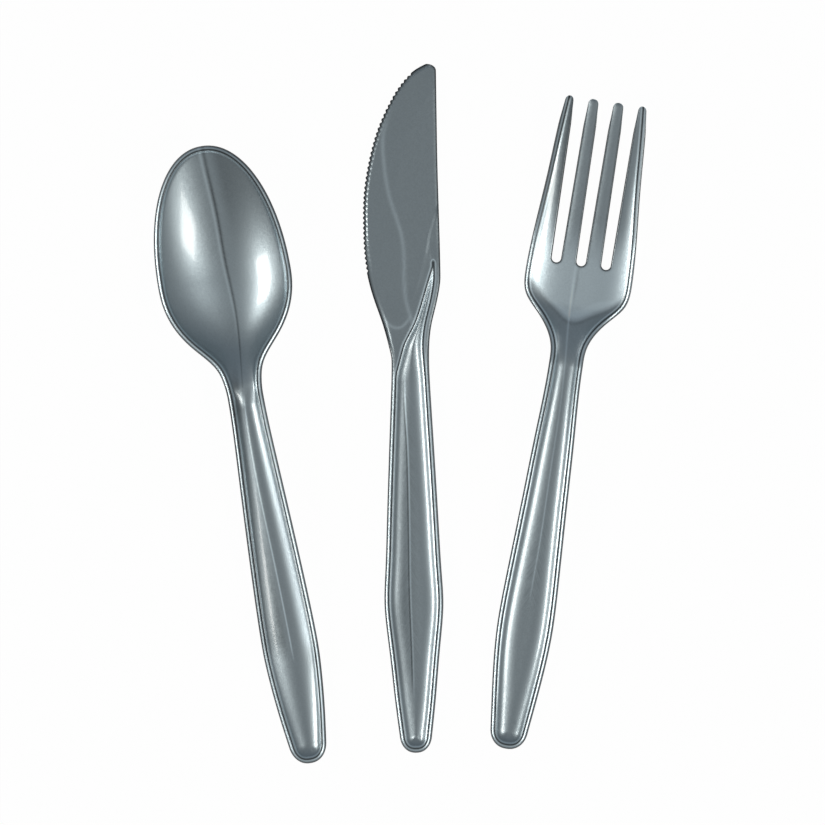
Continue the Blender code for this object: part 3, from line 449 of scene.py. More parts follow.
forkLook = {
    "turn": -8.75,  # degrees, the tines lean to the right
    "handleLength": 107.0,
    "shoulderLength": 24.5,  # neck to the widest place of the head
    "rootLength": 28.2,  # neck to the bottom of the slots
    "tineLength": 45.9,
    "endLength": 5.0,
    "endWidth": 9.2,
    "handleWidth": 15.5,
    "widestAt": 35.0,
    "neckWidth": 9.4,
    "headWidth": 29.8,
    "tipWidth": 23.0,  # across all four tines at their tips
    "slotPitch": 6.95,
    "slotRootWidth": 2.6,
    "slotTipWidth": 3.6,
    "pointLength": 9.0,  # tapered end of a tine
    "pointTaper": 0.3,
    "tipRound": 1.5,
    "tipDrop": 0.7,  # how far a tine's tip rounds down
    "slotEdgeRound": 0.45,
    "troughDepth": 1.7,
    "wallRun": 5.2,
    "palmStart": 17.5,  # neck to where the palm lies level
    "palmDepth": 2.0,
    "palmPower": 3.5,  # 2 gives a round palm, more gives a flat one with sides that turn up
    "tipDepth": 0.5,  # sideways dish across the tips
    "neckHeight": 10.0,
    "tipHeight": 10.5,
    "tineHollow": 0.2,  # shallow hollow along each tine
    "hollowRun": 12.0,
    "tineRoll": (0.5, 10.0),  # how much of the rim's roll is gone on the tines, and after what length
    "pinSpot": (0.85, 7.3),
    "tineBend": 1.5,  # power of the upward curve from the palm to the tips
    "swell": ((0.44, 0.57), (0.72, 0.87)),
    "taper": ((0.17, 0.12), (0.48, 0.47), (0.73, 0.74)),
    "shoulder": ((0.2, 0.02), (0.38, 0.18), (0.56, 0.50), (0.74, 0.87), (0.87, 0.98)),
    "headTaper": ((0.18, 0.10), (0.36, 0.31), (0.54, 0.53), (0.72, 0.70), (0.9, 0.88)),
    "flowLine": ((0, 0), (45.6, 0.2), (58.5, 0.45), (78, 0.3), (92, 0.3), (103, 0.0), (113, -0.6),
                 (124, -1.1), (135, -1.3), (181, -1.3)),
    "paleLine": ((40, 0), (47, 0.5), (60, 0.7), (100, 0.35), (112, 0.6), (126, 0.6), (136, 0.1)),
    "darkLine": ((104, 0), (124, 0.1), (130, 0.35), (137, 0.2), (139, 0)),
    "lineSpread": ((0, 1.0), (105, 1.0), (125, 1.7), (190, 1.7)),
    "darkAt": ((0, -0.42), (105, -0.42), (130, 0.9), (190, 0.9)),
    "feathers": ((36, 0), (44, 0.5), (58, 0.4), (75, 0.1), (100, 0.15), (125, 0.1)),
    "crescentLow": ((-14.5, 129), (-8.3, 124.5), (-5.1, 122.1), (-1.9, 119.8), (0.9, 119.4), (4.8, 121.4),
                    (10, 124.5), (14.5, 127)),
    "crescentHigh": ((-14.5, 128), (-9.7, 126.2), (-4, 124.3), (-1.1, 123.3), (6.8, 126.8), (14.5, 127.5)),
    "crescentPaintedLight": (0.2, 0.6, 1.2),  # painted light above the palm's root: how much lighter, softness of its lower and upper edge
    "crescentPaintedShade": (0.2, -0.3, 0.45, 12.0),  # painted shade along its lower edge: how much darker, place, half width, reach across
    "palmPaintedSheen": (0.75, 2.0, (150, 134)),  # painted sheen: how much lighter, softness of its start, where it ends
    "leftTinePaintedShade": (0.4, (143, 157), (-6, -9)),  # painted shade on the left tines: how much darker, along, across
    # painted light on the funnel between the neck and the palm
    "paintedLightAndTones": ((0.2, ("along", "bell", 114, 9)),),
    "endRowCount": 26,
    "roundRowCount": 14,  # round bottom of the slots, and round tips
    "fineRows": (2.0, 0.1),  # length before the slots with closer rows, and their spacing
    "columns": 24,  # on top of each tine
    "columnsUnder": 5,
    "palmColumns": (0.42, 40, 18),
    "tineColumns": (0.5, 9, 9),
}


# Painted light and shade: a paler crescent with a dark lower edge across the palm's root, for the light and
# shade on a small step there, a painted sheen on the palm above it, and painted shade on the left tines'
# upper part
def forkShade(x, s):
    size = forkLook
    above = s - smoothCurve(size["crescentLow"], x)
    below = smoothCurve(size["crescentHigh"], x) - s
    lighter, start, end = size["palmPaintedSheen"]
    palm = lighter * ease(above / start) * ramp(s, *end)
    lighter, lowEdge, highEdge = size["crescentPaintedLight"]
    crescent = lighter * ease(above / lowEdge) * ease(below / highEdge)
    darker, place, width, reach = size["crescentPaintedShade"]
    line = darker * bell((above - place) / width) * bell(x / reach)
    darker, along, across = size["leftTinePaintedShade"]
    return palm + crescent - line - darker * ramp(s, *along) * ramp(x, *across)


# Places along the fork
forkNeck = forkLook["handleLength"]
forkWidest = forkNeck + forkLook["shoulderLength"]
forkRoot = forkNeck + forkLook["rootLength"]
forkTip = forkRoot + forkLook["tineLength"]


# Half width: the handle's up to the neck, an S-shaped curve out to the palm, then a taper to the tips
def forkSide(s):
    size = forkLook
    wide = (forkWidest, size["headWidth"] / 2)
    shoulder = between(size["shoulder"], (forkNeck, size["neckWidth"] / 2), wide)
    head = between(size["headTaper"], wide, (forkTip, size["tipWidth"] / 2))
    lastSlope = (head[-1][1] - head[-2][1]) / (head[-1][0] - head[-2][0])
    return np.select([s < forkNeck, s < forkWidest], [handleSide(s, size), smoothCurve(shoulder, s)],
                     smoothCurve(head, s, 0, lastSlope))


# Half width of a slot: its round bottom, then straight sides that spread towards the tips
def slotHalfWidth(s):
    size = forkLook
    radius = size["slotRootWidth"] / 2
    past = np.clip((s - forkRoot) / radius, 0, 1)
    spread = np.clip((s - forkRoot) / size["tineLength"], 0, 1)
    return radius * np.sqrt(1 - (1 - past) ** 2) + spread * (size["slotTipWidth"] - size["slotRootWidth"]) / 2


# Distance to the nearest slot's outline
def slotDistance(x, s):
    size = forkLook
    radius = size["slotRootWidth"] / 2
    gaps = []
    for slot in (-1, 0, 1):
        across = np.abs(x - slot * size["slotPitch"])
        roundBottom = np.hypot(across, s - forkRoot - radius) - radius
        gaps.append(np.where(s < forkRoot + radius, roundBottom, across - slotHalfWidth(s)))
    return np.maximum(np.minimum.reduce(gaps), 0)


# Left and right side of one of the four tines. Before the slots they are lines across the palm.
def tineSides(s, number):
    size = forkLook
    side = forkSide(s)
    narrowing = np.where(s < forkRoot, side / forkSide(np.array(forkRoot)), 1)
    left, right = (size["slotPitch"] * (number + step) * narrowing for step in (-2, -1))
    left = -side if number == 0 else left + slotHalfWidth(s)
    right = side if number == 3 else right - slotHalfWidth(s)
    half = (right - left) / 2 - size["pointTaper"] * ramp(s, forkTip - size["pointLength"], forkTip)
    half = half * endWidthShare(endShare(s, forkTip, size["tipRound"]), rim["endRoundness"])
    return (left + right) / 2 - half, (left + right) / 2 + half


# Height of the top and of the underside of the strip that ends in one tine. The top is the crest less the
# rolled edge and the dish, which turns from the handle's flat trough into a palm: 1 less a power of the
# place across. The crest drops to the palm, then rises along the tines as a power of the way to the tips.
def forkSurfaces(s, number, handlePlaces, tinePlaces):
    size = forkLook
    palmHeight = size["palmDepth"] + rim["wall"] - rim["landSink"]
    side, slope = forkSide(s), slopeOf(forkSide, s)
    share = endShare(s, 0, size["endLength"])
    left, right = tineSides(s, number)
    spread = ease((s - forkNeck) / size["rootLength"])
    inHandle = side * endWidthShare(share, rim["endRoundness"]) * handlePlaces
    x = inHandle + spread * (left + (right - left) * tinePlaces - inHandle)
    e = edgeDistance(x, side, slope, share, size["endLength"], rim["endRoundness"])
    crest = handleCrest(s, size)
    crest += (palmHeight - size["neckHeight"]) * ease((s - forkNeck) / size["palmStart"])
    bendAt = forkNeck + size["palmStart"]
    bend = np.clip((s - bendAt) / (forkTip - bendAt), 0, 1)
    crest += (size["tipHeight"] - palmHeight) * bend ** size["tineBend"]
    along = np.clip((s - forkRoot) / size["tineLength"], 0, 1)
    palm = ease((s - forkNeck) / size["shoulderLength"])
    depth = size["palmDepth"] + (size["tipDepth"] - size["palmDepth"]) * ease(along)
    inPalm = depth * (1 - np.minimum(np.abs(x) / (side - rim["width"]), 1) ** size["palmPower"])
    run = np.minimum(size["wallRun"], side - rim["width"])
    inTrough = size["troughDepth"] * troughShare(e - rim["width"], run)
    dish = inTrough + palm * (inPalm - inTrough)
    gone, run = size["tineRoll"]
    roll = rim["roll"] * (1 - gone * ease((s - forkRoot) / run))
    tip = endShare(s, forkTip, size["tipRound"])
    top = crest - rollDrop(e, roll, rim["width"]) - dish
    top -= rollDrop(slotDistance(x, s), size["slotEdgeRound"], size["slotEdgeRound"])
    top -= size["tineHollow"] * (1 - (2 * tinePlaces - 1) ** 2) * ease((s - forkRoot) / size["hollowRun"])
    top -= rollDrop(size["tipRound"] * (1 - tip), size["tipDrop"], size["tipRound"])
    top += pinSpot(x, s, size)
    # The painted dark outline also runs round the slots
    toOutline = np.minimum(e, slotDistance(x, s))
    bottom = underside(crest, dish, e, roll)
    return grid(x, s, top, e - rim["width"], toOutline), grid(x, s, bottom, e - rim["width"], toOutline)


# The same row of places with another count
def recount(places, count):
    return np.interp(np.linspace(0, len(places) - 1, count), np.arange(len(places)), places)


# The same for the fork, out of four strips side by side that part where the slots begin
def makeFork():
    size = forkLook
    radius = size["slotRootWidth"] / 2
    fineLength, fineSpacing = size["fineRows"]
    beforeRoot = np.concatenate([
        endRows(size["endLength"], size["endRowCount"]),
        stretch(size["endLength"], forkRoot - fineLength, rim["lineSpacing"]),
        stretch(forkRoot - fineLength, forkRoot, fineSpacing),
    ])
    rows = np.concatenate([
        beforeRoot,
        forkRoot + endRows(radius, size["roundRowCount"]),
        stretch(forkRoot + radius, forkTip - size["tipRound"], rim["lineSpacing"]),
        forkTip - endRows(size["tipRound"], size["roundRowCount"])[::-1][1:],
    ])[:, None]
    count, under = size["columns"], size["columnsUnder"]
    above = recount(columnPlaces(*size["palmColumns"]), 4 * count + 1)
    below = np.linspace(-1, 1, 4 * under + 1)
    tineAbove = recount((1 + columnPlaces(*size["tineColumns"])) / 2, count + 1)
    tineBelow = np.linspace(0, 1, under + 1)
    bands = []
    for number in range(4):
        top = forkSurfaces(rows, number, above[number * count:(number + 1) * count + 1], tineAbove)[0]
        bottom = forkSurfaces(rows, number, below[number * under:(number + 1) * under + 1], tineBelow)[1]
        bands.append((top, bottom))
    piece = makePiece("fork_moulding", bands, size, forkShade, len(beforeRoot) - 1)
    return layOn(piece, "fork", size["turn"])


# Knife

knifeLook = {
    "turn": 0.86,
    "handleLength": 108.5,
    "bladeLength": 82.2,
    "endLength": 4.4,
    "endWidth": 7.8,
    "handleWidth": 16.32,
    "widestAt": 42.0,
    "neckWidth": 10.4,
    "troughDepth": 1.6,
    "wallRun": 4.5,
    "pinSpot": (0.8, 4.1),
    "sweepStart": 6.0,  # before the neck, where the left rim starts to cross over
    "sweepLength": 33.0,  # from there to the trough's point at the spine
    "edgeReach": 12.55,  # middle line to the deepest place of the cutting edge
    "edgeDeepest": 37.0,  # after the neck
    "spineReach": 8.3,  # middle line to the back of the blade
    "shoulderReach": 8.7,  # middle line to the back's hump behind the handle
    "shoulderAt": 23.5,
    "tipReach": 5.6,
    "tipRound": 1.9,
    "spineRim": 1.8,  # width of the rim along the back
    "bladeStep": 0.6,  # blade's face below the rim
    "bladeUnder": 0.7,  # blade's underside above the table
    "underRun": 14.0,  # length over which the underside rises to it
    "hollow": 0.4,  # how much thinner the blade is ground towards the edge
    "grindWidth": 8.5,
    "edgeBand": 1.4,  # teeth and the narrow bevel inside them
    "bevelRun": 0.7,
    "edgeThickness": 0.85,
    "toothShade": 1.5,  # how much wider the painted dark outline is along the teeth
    "toothPitch": 1.4,
    "toothDepth": 0.45,
    "toothPower": 0.8,  # less than 1 gives wide notches and sharp teeth
    "teethStart": 24.4,
    "teethMargin": 2.4,
    "tipSteepness": 1.6,  # how the edge's slope grows over its last stretch
    "swell": ((0.34, 0.40), (0.67, 0.72), (0.88, 0.94)),
    "taper": ((0.12, 0.12), (0.32, 0.33), (0.85, 0.89)),
    "edgeSwell": ((0.09, 0.07), (0.27, 0.30), (0.46, 0.62), (0.69, 0.90)),
    "edgeSweep": ((0.19, 0.012), (0.39, 0.09), (0.58, 0.22), (0.78, 0.45), (0.92, 0.70)),
    "backSwell": ((0.24, 0.06), (0.43, 0.24), (0.62, 0.56), (0.81, 0.85)),
    "rimSweep": ((0.22, 0.14), (0.31, 0.22), (0.48, 0.48), (0.63, 0.65), (0.78, 0.79)),
    "flowLine": ((0, -0.3), (17, -0.35), (28, -0.46), (42, -0.8), (59, -0.84), (75, -0.86), (89, -1.2),
                 (98, -1.6), (105, -1.5), (190.7, -1.5)),
    "paleLine": ((14, 0), (20, 0.5), (60, 0.8), (98, 1.2), (106, 0.0)),
    "darkLine": ((16, 0), (22, 0.6), (60, 0.6), (95, 0.5), (106, 0)),
    "lineSpread": ((0, 1.0), (190, 1.0)),
    "darkAt": ((0, -0.42), (190, -0.42)),
    "feathers": ((16, 0), (24, 0.3), (60, 0.3), (90, 0.25), (106, 0)),
    # Soft edges on the blade, each (along, across): the raised strip beside the crossing rim, the rounded
    # lower end of the face, and the line where the grinding starts
    "stripEdge": ((112, -3.0), (120.2, -0.2), (125.4, 1.95), (129.8, 3.48), (134.5, 4.71), (138.4, 5.6),
                  (144.7, 6.9), (152, 9.5), (191, 14)),
    "faceEnd": ((-13, 130), (-7.97, 122.3), (-6.5, 119.6), (-5.2, 118.2), (-3.6, 117.7), (-2, 118.1),
                (-0.2, 120), (14, 124)),
    "grindLine": ((118, 0.6), (123.1, -0.4), (129, -1.35), (136.4, -1.35), (143.4, -2.0), (149.3, -3.7),
                  (155, -5.3), (165, -6.6), (172.4, -6.3), (180, -4.2)),
    "softEdge": 1.4,
    "endRun": 9.0,
    "faceDrop": 0.3,  # blade's face below the strip
    "rimDrop": 0.3,  # strip below the crossing rim
    "rimEnd": (-2.0, 7.0),  # from the trough's point, where the drop beside the rim spreads to all sides
    "crestEnd": (3.0, 4.0),  # distance added past the trough's point, and over what length
    "grindRidge": (0.06, 0.5, (120, 126), (182, 174)),  # height, half width, start, end
    "grindPaintedHighlight": (0.45, 0.5, (118, 121), (180, 168)),  # how much lighter, half width, start, end
    "faceEndPaintedHighlight": (0.5, 0.4, (-8, -6), (1, -1)),  # the same, across
    "paintedLightAndTones": (
        # painted light on the handle's floor right of the flow line, and painted shade left of it
        (0.08, ("along", "ramp", 14, 22), ("along", "ramp", 106, 100), ("across", "ramp", 0.5, 2.0)),
        (-0.14, ("along", "ramp", 14, 22), ("along", "ramp", 106, 100), ("across", "ramp", -0.5, -2.0)),
    ),
    "endRowCount": 24,
    "tipRowCount": 20,
    "rowSpacings": (0.5, 0.3, 0.14),  # on the handle, where the rim crosses, along the teeth
    "columnCounts": (26, 36, 10),  # on top: left of the trough, over it, right of it
    "columnCrowding": (0.09, 0.1),  # how much closer they are at the sides of the trough, and of the blade
    "spreadRun": 37 / 3,  # length over which they spread out evenly
    "bottomColumns": (0.3, 6, 8),
}


# Where the blade's face ends on the side of the handle, at each place across
def faceEndAt(x):
    return smoothCurve(knifeLook["faceEnd"], x)


# Painted highlights: pale lines along the grinding line and round the end of the face, where the face has a
# slight ridge and a step
def knifeShade(x, s):
    lighter, width, start, end = knifeLook["grindPaintedHighlight"]
    fromLine = x - smoothCurve(knifeLook["grindLine"], s)
    grind = lighter * bell(fromLine / width) * ramp(s, *start) * ramp(s, *end)
    lighter, width, start, end = knifeLook["faceEndPaintedHighlight"]
    fromEnd = (s - faceEndAt(x)) / np.hypot(1, slopeOf(faceEndAt, x))
    return grind + lighter * bell(fromEnd / width) * ramp(x, *start) * ramp(x, *end)


# Places along the knife. The left rim crosses over from the second to the third.
knifeNeck = knifeLook["handleLength"]
knifeSweep = knifeNeck - knifeLook["sweepStart"]
knifePoint = knifeSweep + knifeLook["sweepLength"]
knifeTip = knifeNeck + knifeLook["bladeLength"]


# Half width of the handle
def knifeHandleSide(s):
    return handleSide(s, knifeLook)


# Middle line to the handle's left side and then the cutting edge, which sweeps across to the tip
def knifeEdge(s):
    size = knifeLook
    deepest = (knifeNeck + size["edgeDeepest"], size["edgeReach"])
    sweep = between(size["edgeSweep"], deepest, (knifeTip, -size["tipReach"]))
    steep = size["tipSteepness"] * (sweep[-1][1] - sweep[-2][1]) / (sweep[-1][0] - sweep[-2][0])
    rise = between(size["edgeSwell"], (knifeNeck, size["neckWidth"] / 2), deepest)
    return np.select([s < knifeNeck, s < deepest[0]], [knifeHandleSide(s), smoothCurve(rise, s)],
                     smoothCurve(sweep, s, 0, steep))


# Middle line to the handle's right side and then the back of the blade
def knifeBack(s):
    size = knifeLook
    hump = (knifeNeck + size["shoulderAt"], size["shoulderReach"])
    rise = smoothCurve(between(size["backSwell"], (knifeNeck, size["neckWidth"] / 2), hump), s)
    back = size["shoulderReach"] + (size["spineReach"] - size["shoulderReach"]) * ease(
        (s - hump[0]) / size["edgeDeepest"])
    tip = endWidthShare(endShare(s, knifeTip, size["tipRound"]), 2)
    back = size["tipReach"] + (back - size["tipReach"]) * tip
    return np.select([s < knifeNeck, s < hump[0]], [knifeHandleSide(s), rise], back)


# The crests beside the trough. The left one crosses over to the spine, where the trough ends.
def troughSides(s):
    size = knifeLook
    left, right = rim["width"] - knifeEdge(s), knifeBack(s) - rim["width"]
    right = right + ease((s - knifeSweep) / size["sweepStart"] / 2) * (rim["width"] - size["spineRim"])
    start = (knifeSweep, rim["width"] - float(knifeHandleSide(np.array(knifeSweep))))
    end = (knifePoint, float(knifeBack(np.array(knifePoint))) - size["spineRim"])
    lastSlope = (end[1] - start[1]) / size["sweepLength"]
    crossing = smoothCurve(between(size["rimSweep"], start, end), s, 0, lastSlope)
    left = np.where(s < knifeSweep, left, crossing)
    return np.minimum(left, right - rim["width"] / 4), right


# 0 on the handle, 1 on the blade
def bladeShare(s):
    start = knifeLook["sweepStart"]
    return ease((s - knifeNeck + start / 2) / (2 * start))


# Shares from 0 to 1, closer together at both ends
def crowded(count, crowding):
    places = np.linspace(0, 1, count)
    return places - crowding * np.sin(2 * np.pi * places)


# Columns follow the edge, the crossing rim and the back, then spread evenly over the blade
def knifeColumns(s, outsideCount, insideCount, backCount):
    size = knifeLook
    left, right = -knifeEdge(s), knifeBack(s)
    troughLeft, troughRight = troughSides(s)
    crowdTrough, crowdBlade = size["columnCrowding"]
    outside = left + (troughLeft - left) * np.linspace(0, 1, outsideCount + 1)[:-1]
    inside = troughLeft + (troughRight - troughLeft) * crowded(insideCount, crowdTrough)
    back = right - (right - troughRight) * np.linspace(1, 0, backCount + 1)[1:]
    x = np.concatenate([outside, inside, back], axis=1)
    even = left + (right - left) * crowded(x.shape[1], crowdBlade)
    spread = ease((s - knifePoint) / size["spreadRun"])
    end = endWidthShare(endShare(s, 0, size["endLength"]), rim["endRoundness"])
    return end * (x + spread * (even - x))


# Height of the top and of the underside, each with the distances to the crest and to the outline. The top
# is a level crest less the rolled edge, the trough, the step down to the blade's face, the hollow that is
# ground towards the edge, and the bevel. The underside rises by a smooth step to run level under the blade.
def knifeHeights(x, s):
    size = knifeLook
    crest = size["troughDepth"] + rim["wall"] - rim["landSink"]
    face = crest - size["bladeStep"]
    leftGap = (x + knifeEdge(s)) / np.hypot(1, slopeOf(knifeEdge, s))
    rightGap = (knifeBack(s) - x) / np.hypot(1, slopeOf(knifeBack, s))
    share = endShare(s, 0, size["endLength"])
    side, sideSlope = knifeHandleSide(s), slopeOf(knifeHandleSide, s)
    e = edgeDistance(x, side, sideSlope, share, size["endLength"], rim["endRoundness"])
    e = np.where(s < size["endLength"], e, np.maximum(np.minimum(leftGap, rightGap), 0))
    troughLeft, troughRight = troughSides(s)
    inward = np.minimum(x - troughLeft, troughRight - x)
    inward = np.where(s < size["widestAt"], e - rim["width"], inward)
    trough = size["troughDepth"] * troughShare(inward, size["wallRun"])
    blade = bladeShare(s)
    beside = size["rimDrop"] * ease((troughLeft - x) / rim["width"]) * blade
    beside = beside + (size["rimDrop"] - beside) * ramp(s - knifePoint, *size["rimEnd"])
    intoFace = ease((smoothCurve(size["stripEdge"], s) - x) / size["softEdge"])
    intoFace = intoFace * ease((s - faceEndAt(x)) / size["endRun"])
    height, width, start, end = size["grindRidge"]
    fromLine = x - smoothCurve(size["grindLine"], s)
    ridge = height * bell(fromLine / width) * ramp(s, *start) * ramp(s, *end)
    step = beside + size["faceDrop"] * intoFace - ridge
    hollow = size["hollow"] * (1 - np.clip(leftGap / size["grindWidth"], 0, 1))
    band = face - size["hollow"] - size["bladeUnder"] - size["edgeThickness"]
    band = band * ease((size["edgeBand"] - leftGap) / size["bevelRun"])
    roll = np.where(x < 0, rim["roll"] * (1 - blade), rim["roll"] * (1 - blade / 2))
    top = crest - rollDrop(e, roll, rim["width"]) - trough - step - blade * (hollow + band)
    top = top + pinSpot(x, s, size)
    underBlade = ease((s - knifeNeck) / size["underRun"])
    bottom = underside(crest, trough, e, rim["roll"])
    bottom = bottom + underBlade * (size["bladeUnder"] - bottom)
    toCrest = np.minimum(np.abs(x - troughLeft), np.abs(x - troughRight))
    toCrest = np.where(s < knifeSweep, np.abs(e - rim["width"]), toCrest)
    added, run = size["crestEnd"]
    toCrest = toCrest + added * ease((s - knifePoint) / run)
    # The painted dark outline reaches further in along the teeth
    toOutline = np.minimum(leftGap / (1 + (size["toothShade"] - 1) * blade), rightGap)
    toOutline = np.where(s < size["endLength"], e, toOutline)
    return (top, toCrest, toOutline), (bottom, toCrest, toOutline)


# How far the edge is notched at each place: 1 less the cosine's size, to a power, so that the teeth stand
# at even steps along the cutting edge
def toothNotch(s, samples=2000):
    size = knifeLook
    start, end = knifeNeck + size["teethStart"], knifeTip - size["teethMargin"]
    fine = np.linspace(start, end, samples)
    along = np.concatenate([[0], np.cumsum(np.hypot(np.diff(fine), np.diff(knifeEdge(fine))))])
    count = round(along[-1] / size["toothPitch"])
    phase = np.interp(s, fine, along / along[-1] * count)
    inside = (s > start) & (s < end)
    notch = (1 - np.abs(np.cos(np.pi * phase))) ** size["toothPower"]
    return np.where(inside, size["toothDepth"] * notch, 0)


# The same for the knife, with the points beside the cutting edge moved in to make the teeth
def makeKnife():
    size = knifeLook
    teethAt = knifeNeck + size["teethStart"]
    onHandle, atCrossing, atTeeth = size["rowSpacings"]
    rows = np.concatenate([
        endRows(size["endLength"], size["endRowCount"]),
        stretch(size["endLength"], knifeSweep, onHandle),
        stretch(knifeSweep, teethAt, atCrossing),
        stretch(teethAt, knifeTip - size["teethMargin"], atTeeth),
        knifeTip - endRows(size["teethMargin"], size["tipRowCount"])[::-1][1:],
    ])[:, None]
    notch, slope = toothNotch(rows), slopeOf(knifeEdge, rows)

    # Moves the points of the narrow band along the edge straight in from the edge, by the notch
    def withTeeth(x):
        fade = 1 - np.clip((x + knifeEdge(rows)) / size["edgeBand"], 0, 1)
        return (x + notch * fade / np.hypot(1, slope),
                np.broadcast_to(rows, x.shape) + notch * fade * slope / np.hypot(1, slope))

    x = knifeColumns(rows, *size["columnCounts"])
    above = knifeHeights(x, rows)[0]
    x, places = withTeeth(x)
    top = grid(x, places, *above)
    end = endWidthShare(endShare(rows, 0, size["endLength"]), rim["endRoundness"])
    shares = (1 + columnPlaces(*size["bottomColumns"])) / 2
    x = end * (-knifeEdge(rows) + (knifeEdge(rows) + knifeBack(rows)) * shares)
    below = knifeHeights(x, rows)[1]
    x, places = withTeeth(x)
    bottom = grid(x, places, *below)
    piece = makePiece("knife_moulding", [(top, bottom)], size, knifeShade)
    return layOn(piece, "knife", size["turn"])


# Materials

# An sRGB hex colour as linear red, green, blue and alpha
def linear(code):
    parts = [int(code[i:i + 2], 16) / 255 for i in (1, 3, 5)]
    return (*[c / 12.92 if c <= 0.04045 else ((c + 0.055) / 1.055) ** 2.4 for c in parts], 1.0)


# Adds a shader node, with its settings and what its inputs are linked to or hold. An input is given by
# its name, or by its number as in0, in1 and so on.
def addNode(tree, kind, settings=None, **inputs):
    node = tree.nodes.new("ShaderNode" + kind)
    for key, value in (settings or {}).items():
        setattr(node, key, value)
    for key, value in inputs.items():
        socket = node.inputs[int(key[2:]) if key[2:].isdigit() else key]
        if isinstance(value, bpy.types.NodeSocket):
            tree.links.new(value, socket)
        else:
            socket.default_value = value
    return node


plasticLook = {
    "silver": "#A7B3B8",
    "metallic": 0.85,
    "roughness": 0.4,
    "gloss": 0.8,  # clear skin over the flakes
    "glossRoughness": 0.13,
    "glossIor": 1.59,  # polystyrene
    "flakeSize": 0.3,  # mm; real flakes are 0.05 mm, too fine to show
    "flakeTilt": 0.035,
    "grain": 0.10,  # lighter and darker flakes
    "leastLight": 0.02,  # of the silver, in the darkest lines
    "lineWidth": 0.22,  # mm, half width of the pale flow line
    "crestPaintedShade": 0.88,  # painted shade along the rim's crest and the outline
    "crestWidth": 0.2,  # mm, half width of the painted dark line on the crest
    "outlinePaintedShade": 0.97,
    "outlineWidth": 0.45,
    "shoulderPaintedHighlight": 1.0,  # painted highlights on both shoulders of the rim
    "shoulderAt": 0.5,  # mm from the crest
    "featherReach": 2.4,  # mm to each side of the flow line
    "featherLength": 0.55,  # mm along it
    "featherSlant": 1.8,  # how far they are swept back, for each mm across
    "featherFineness": 0.35,  # how fast they change across
}


# Polystyrene with aluminium flake, injection moulded in a polished mould. The flakes lie a little unevenly,
# which gives a soft satin sheen with a fine sparkle, and the clear skin over them gives sharp reflections.
def silverFlakePolystyrene(name):
    look = plasticLook
    finish = bpy.data.materials.new(name)
    finish.use_nodes = True
    tree = finish.node_tree
    shader = tree.nodes["Principled BSDF"]

    def maths(operation, a, b=0.0, c=0.0):
        return addNode(tree, "Math", {"operation": operation}, in0=a, in1=b, in2=c).outputs[0]

    def times(a, b):
        return maths("MULTIPLY", a, b)

    def vectorMaths(operation, a, b=(0, 0, 0), scale=1.0):
        return addNode(tree, "VectorMath", {"operation": operation}, in0=a, in1=b, in3=scale).outputs[0]

    # The same bell as in the shapes, of height 1 around 0
    def hump(value, width):
        share = maths("DIVIDE", value, width)
        return maths("EXPONENT", times(times(share, share), -1.0))

    def readVector(kind):
        vector = addNode(tree, "Attribute", {"attribute_name": kind}).outputs["Vector"]
        return addNode(tree, "SeparateXYZ", Vector=vector).outputs

    # Every flake has a random colour, which gives it its tilt and its lightness
    where = addNode(tree, "TexCoord").outputs["Object"]
    flake = addNode(tree, "TexVoronoi", Vector=where, Scale=1 / (look["flakeSize"] * mm)).outputs["Color"]
    tilt = vectorMaths("SCALE", vectorMaths("SUBTRACT", flake, (0.5, 0.5, 0.5)), scale=look["flakeTilt"])
    normal = addNode(tree, "NewGeometry").outputs["Normal"]
    turned = vectorMaths("NORMALIZE", vectorMaths("ADD", normal, tilt))
    grain = maths("SUBTRACT", addNode(tree, "SeparateXYZ", Vector=flake).outputs[0], 0.5)

    # Lines that follow the rim and the flow line. Along the rim they are painted: shade on the crest and the
    # outline, where the clear skin's reflection is also taken away, and highlights on the crest's shoulders.
    gap, along, shade = readVector("flow")
    pale, dark, feathers = readVector("flowTones")
    toCrest, toOutline, toDark = readVector("rimLines")
    line = times(pale, hump(gap, look["lineWidth"]))
    shadow = times(dark, hump(toDark, look["lineWidth"]))
    crest = times(hump(toCrest, look["crestWidth"]), look["crestPaintedShade"])
    outline = times(hump(toOutline, look["outlineWidth"]), look["outlinePaintedShade"])
    shoulder = hump(maths("SUBTRACT", maths("ABSOLUTE", toCrest), look["shoulderAt"]), look["crestWidth"])
    clear = times(maths("SUBTRACT", 1.0, crest), maths("SUBTRACT", 1.0, outline))

    # Feathers: a noise that is long across and short along, swept back from the flow line on both sides
    swept = maths("MULTIPLY_ADD", maths("ABSOLUTE", gap), look["featherSlant"], along)
    swept = maths("DIVIDE", swept, look["featherLength"])
    across = times(gap, look["featherFineness"])
    streakAt = addNode(tree, "CombineXYZ", X=swept, Y=across).outputs[0]
    streaks = addNode(tree, "TexNoise", Vector=streakAt, Scale=1.0, Detail=2.0).outputs[0]
    streaks = times(maths("SUBTRACT", streaks, 0.5), times(feathers, 2.0))
    streaks = times(streaks, hump(gap, look["featherReach"]))

    light = maths("ADD", maths("ADD", 1.0, shade), maths("SUBTRACT", line, shadow))
    light = maths("ADD", light, maths("MULTIPLY_ADD", grain, look["grain"], streaks))
    light = maths("MULTIPLY_ADD", shoulder, look["shoulderPaintedHighlight"], light)
    light = maths("MAXIMUM", times(light, clear), look["leastLight"])
    silver = vectorMaths("SCALE", linear(look["silver"])[:3], scale=light)
    for socket, value in (("Base Color", silver), ("Coat Weight", times(clear, look["gloss"])),
                          ("Normal", turned)):
        tree.links.new(value, shader.inputs[socket])
    for socket, key in (("Metallic", "metallic"), ("Roughness", "roughness"), ("Coat IOR", "glossIor"),
                        ("Coat Roughness", "glossRoughness")):
        shader.inputs[socket].default_value = look[key]
    return finish


# Stage

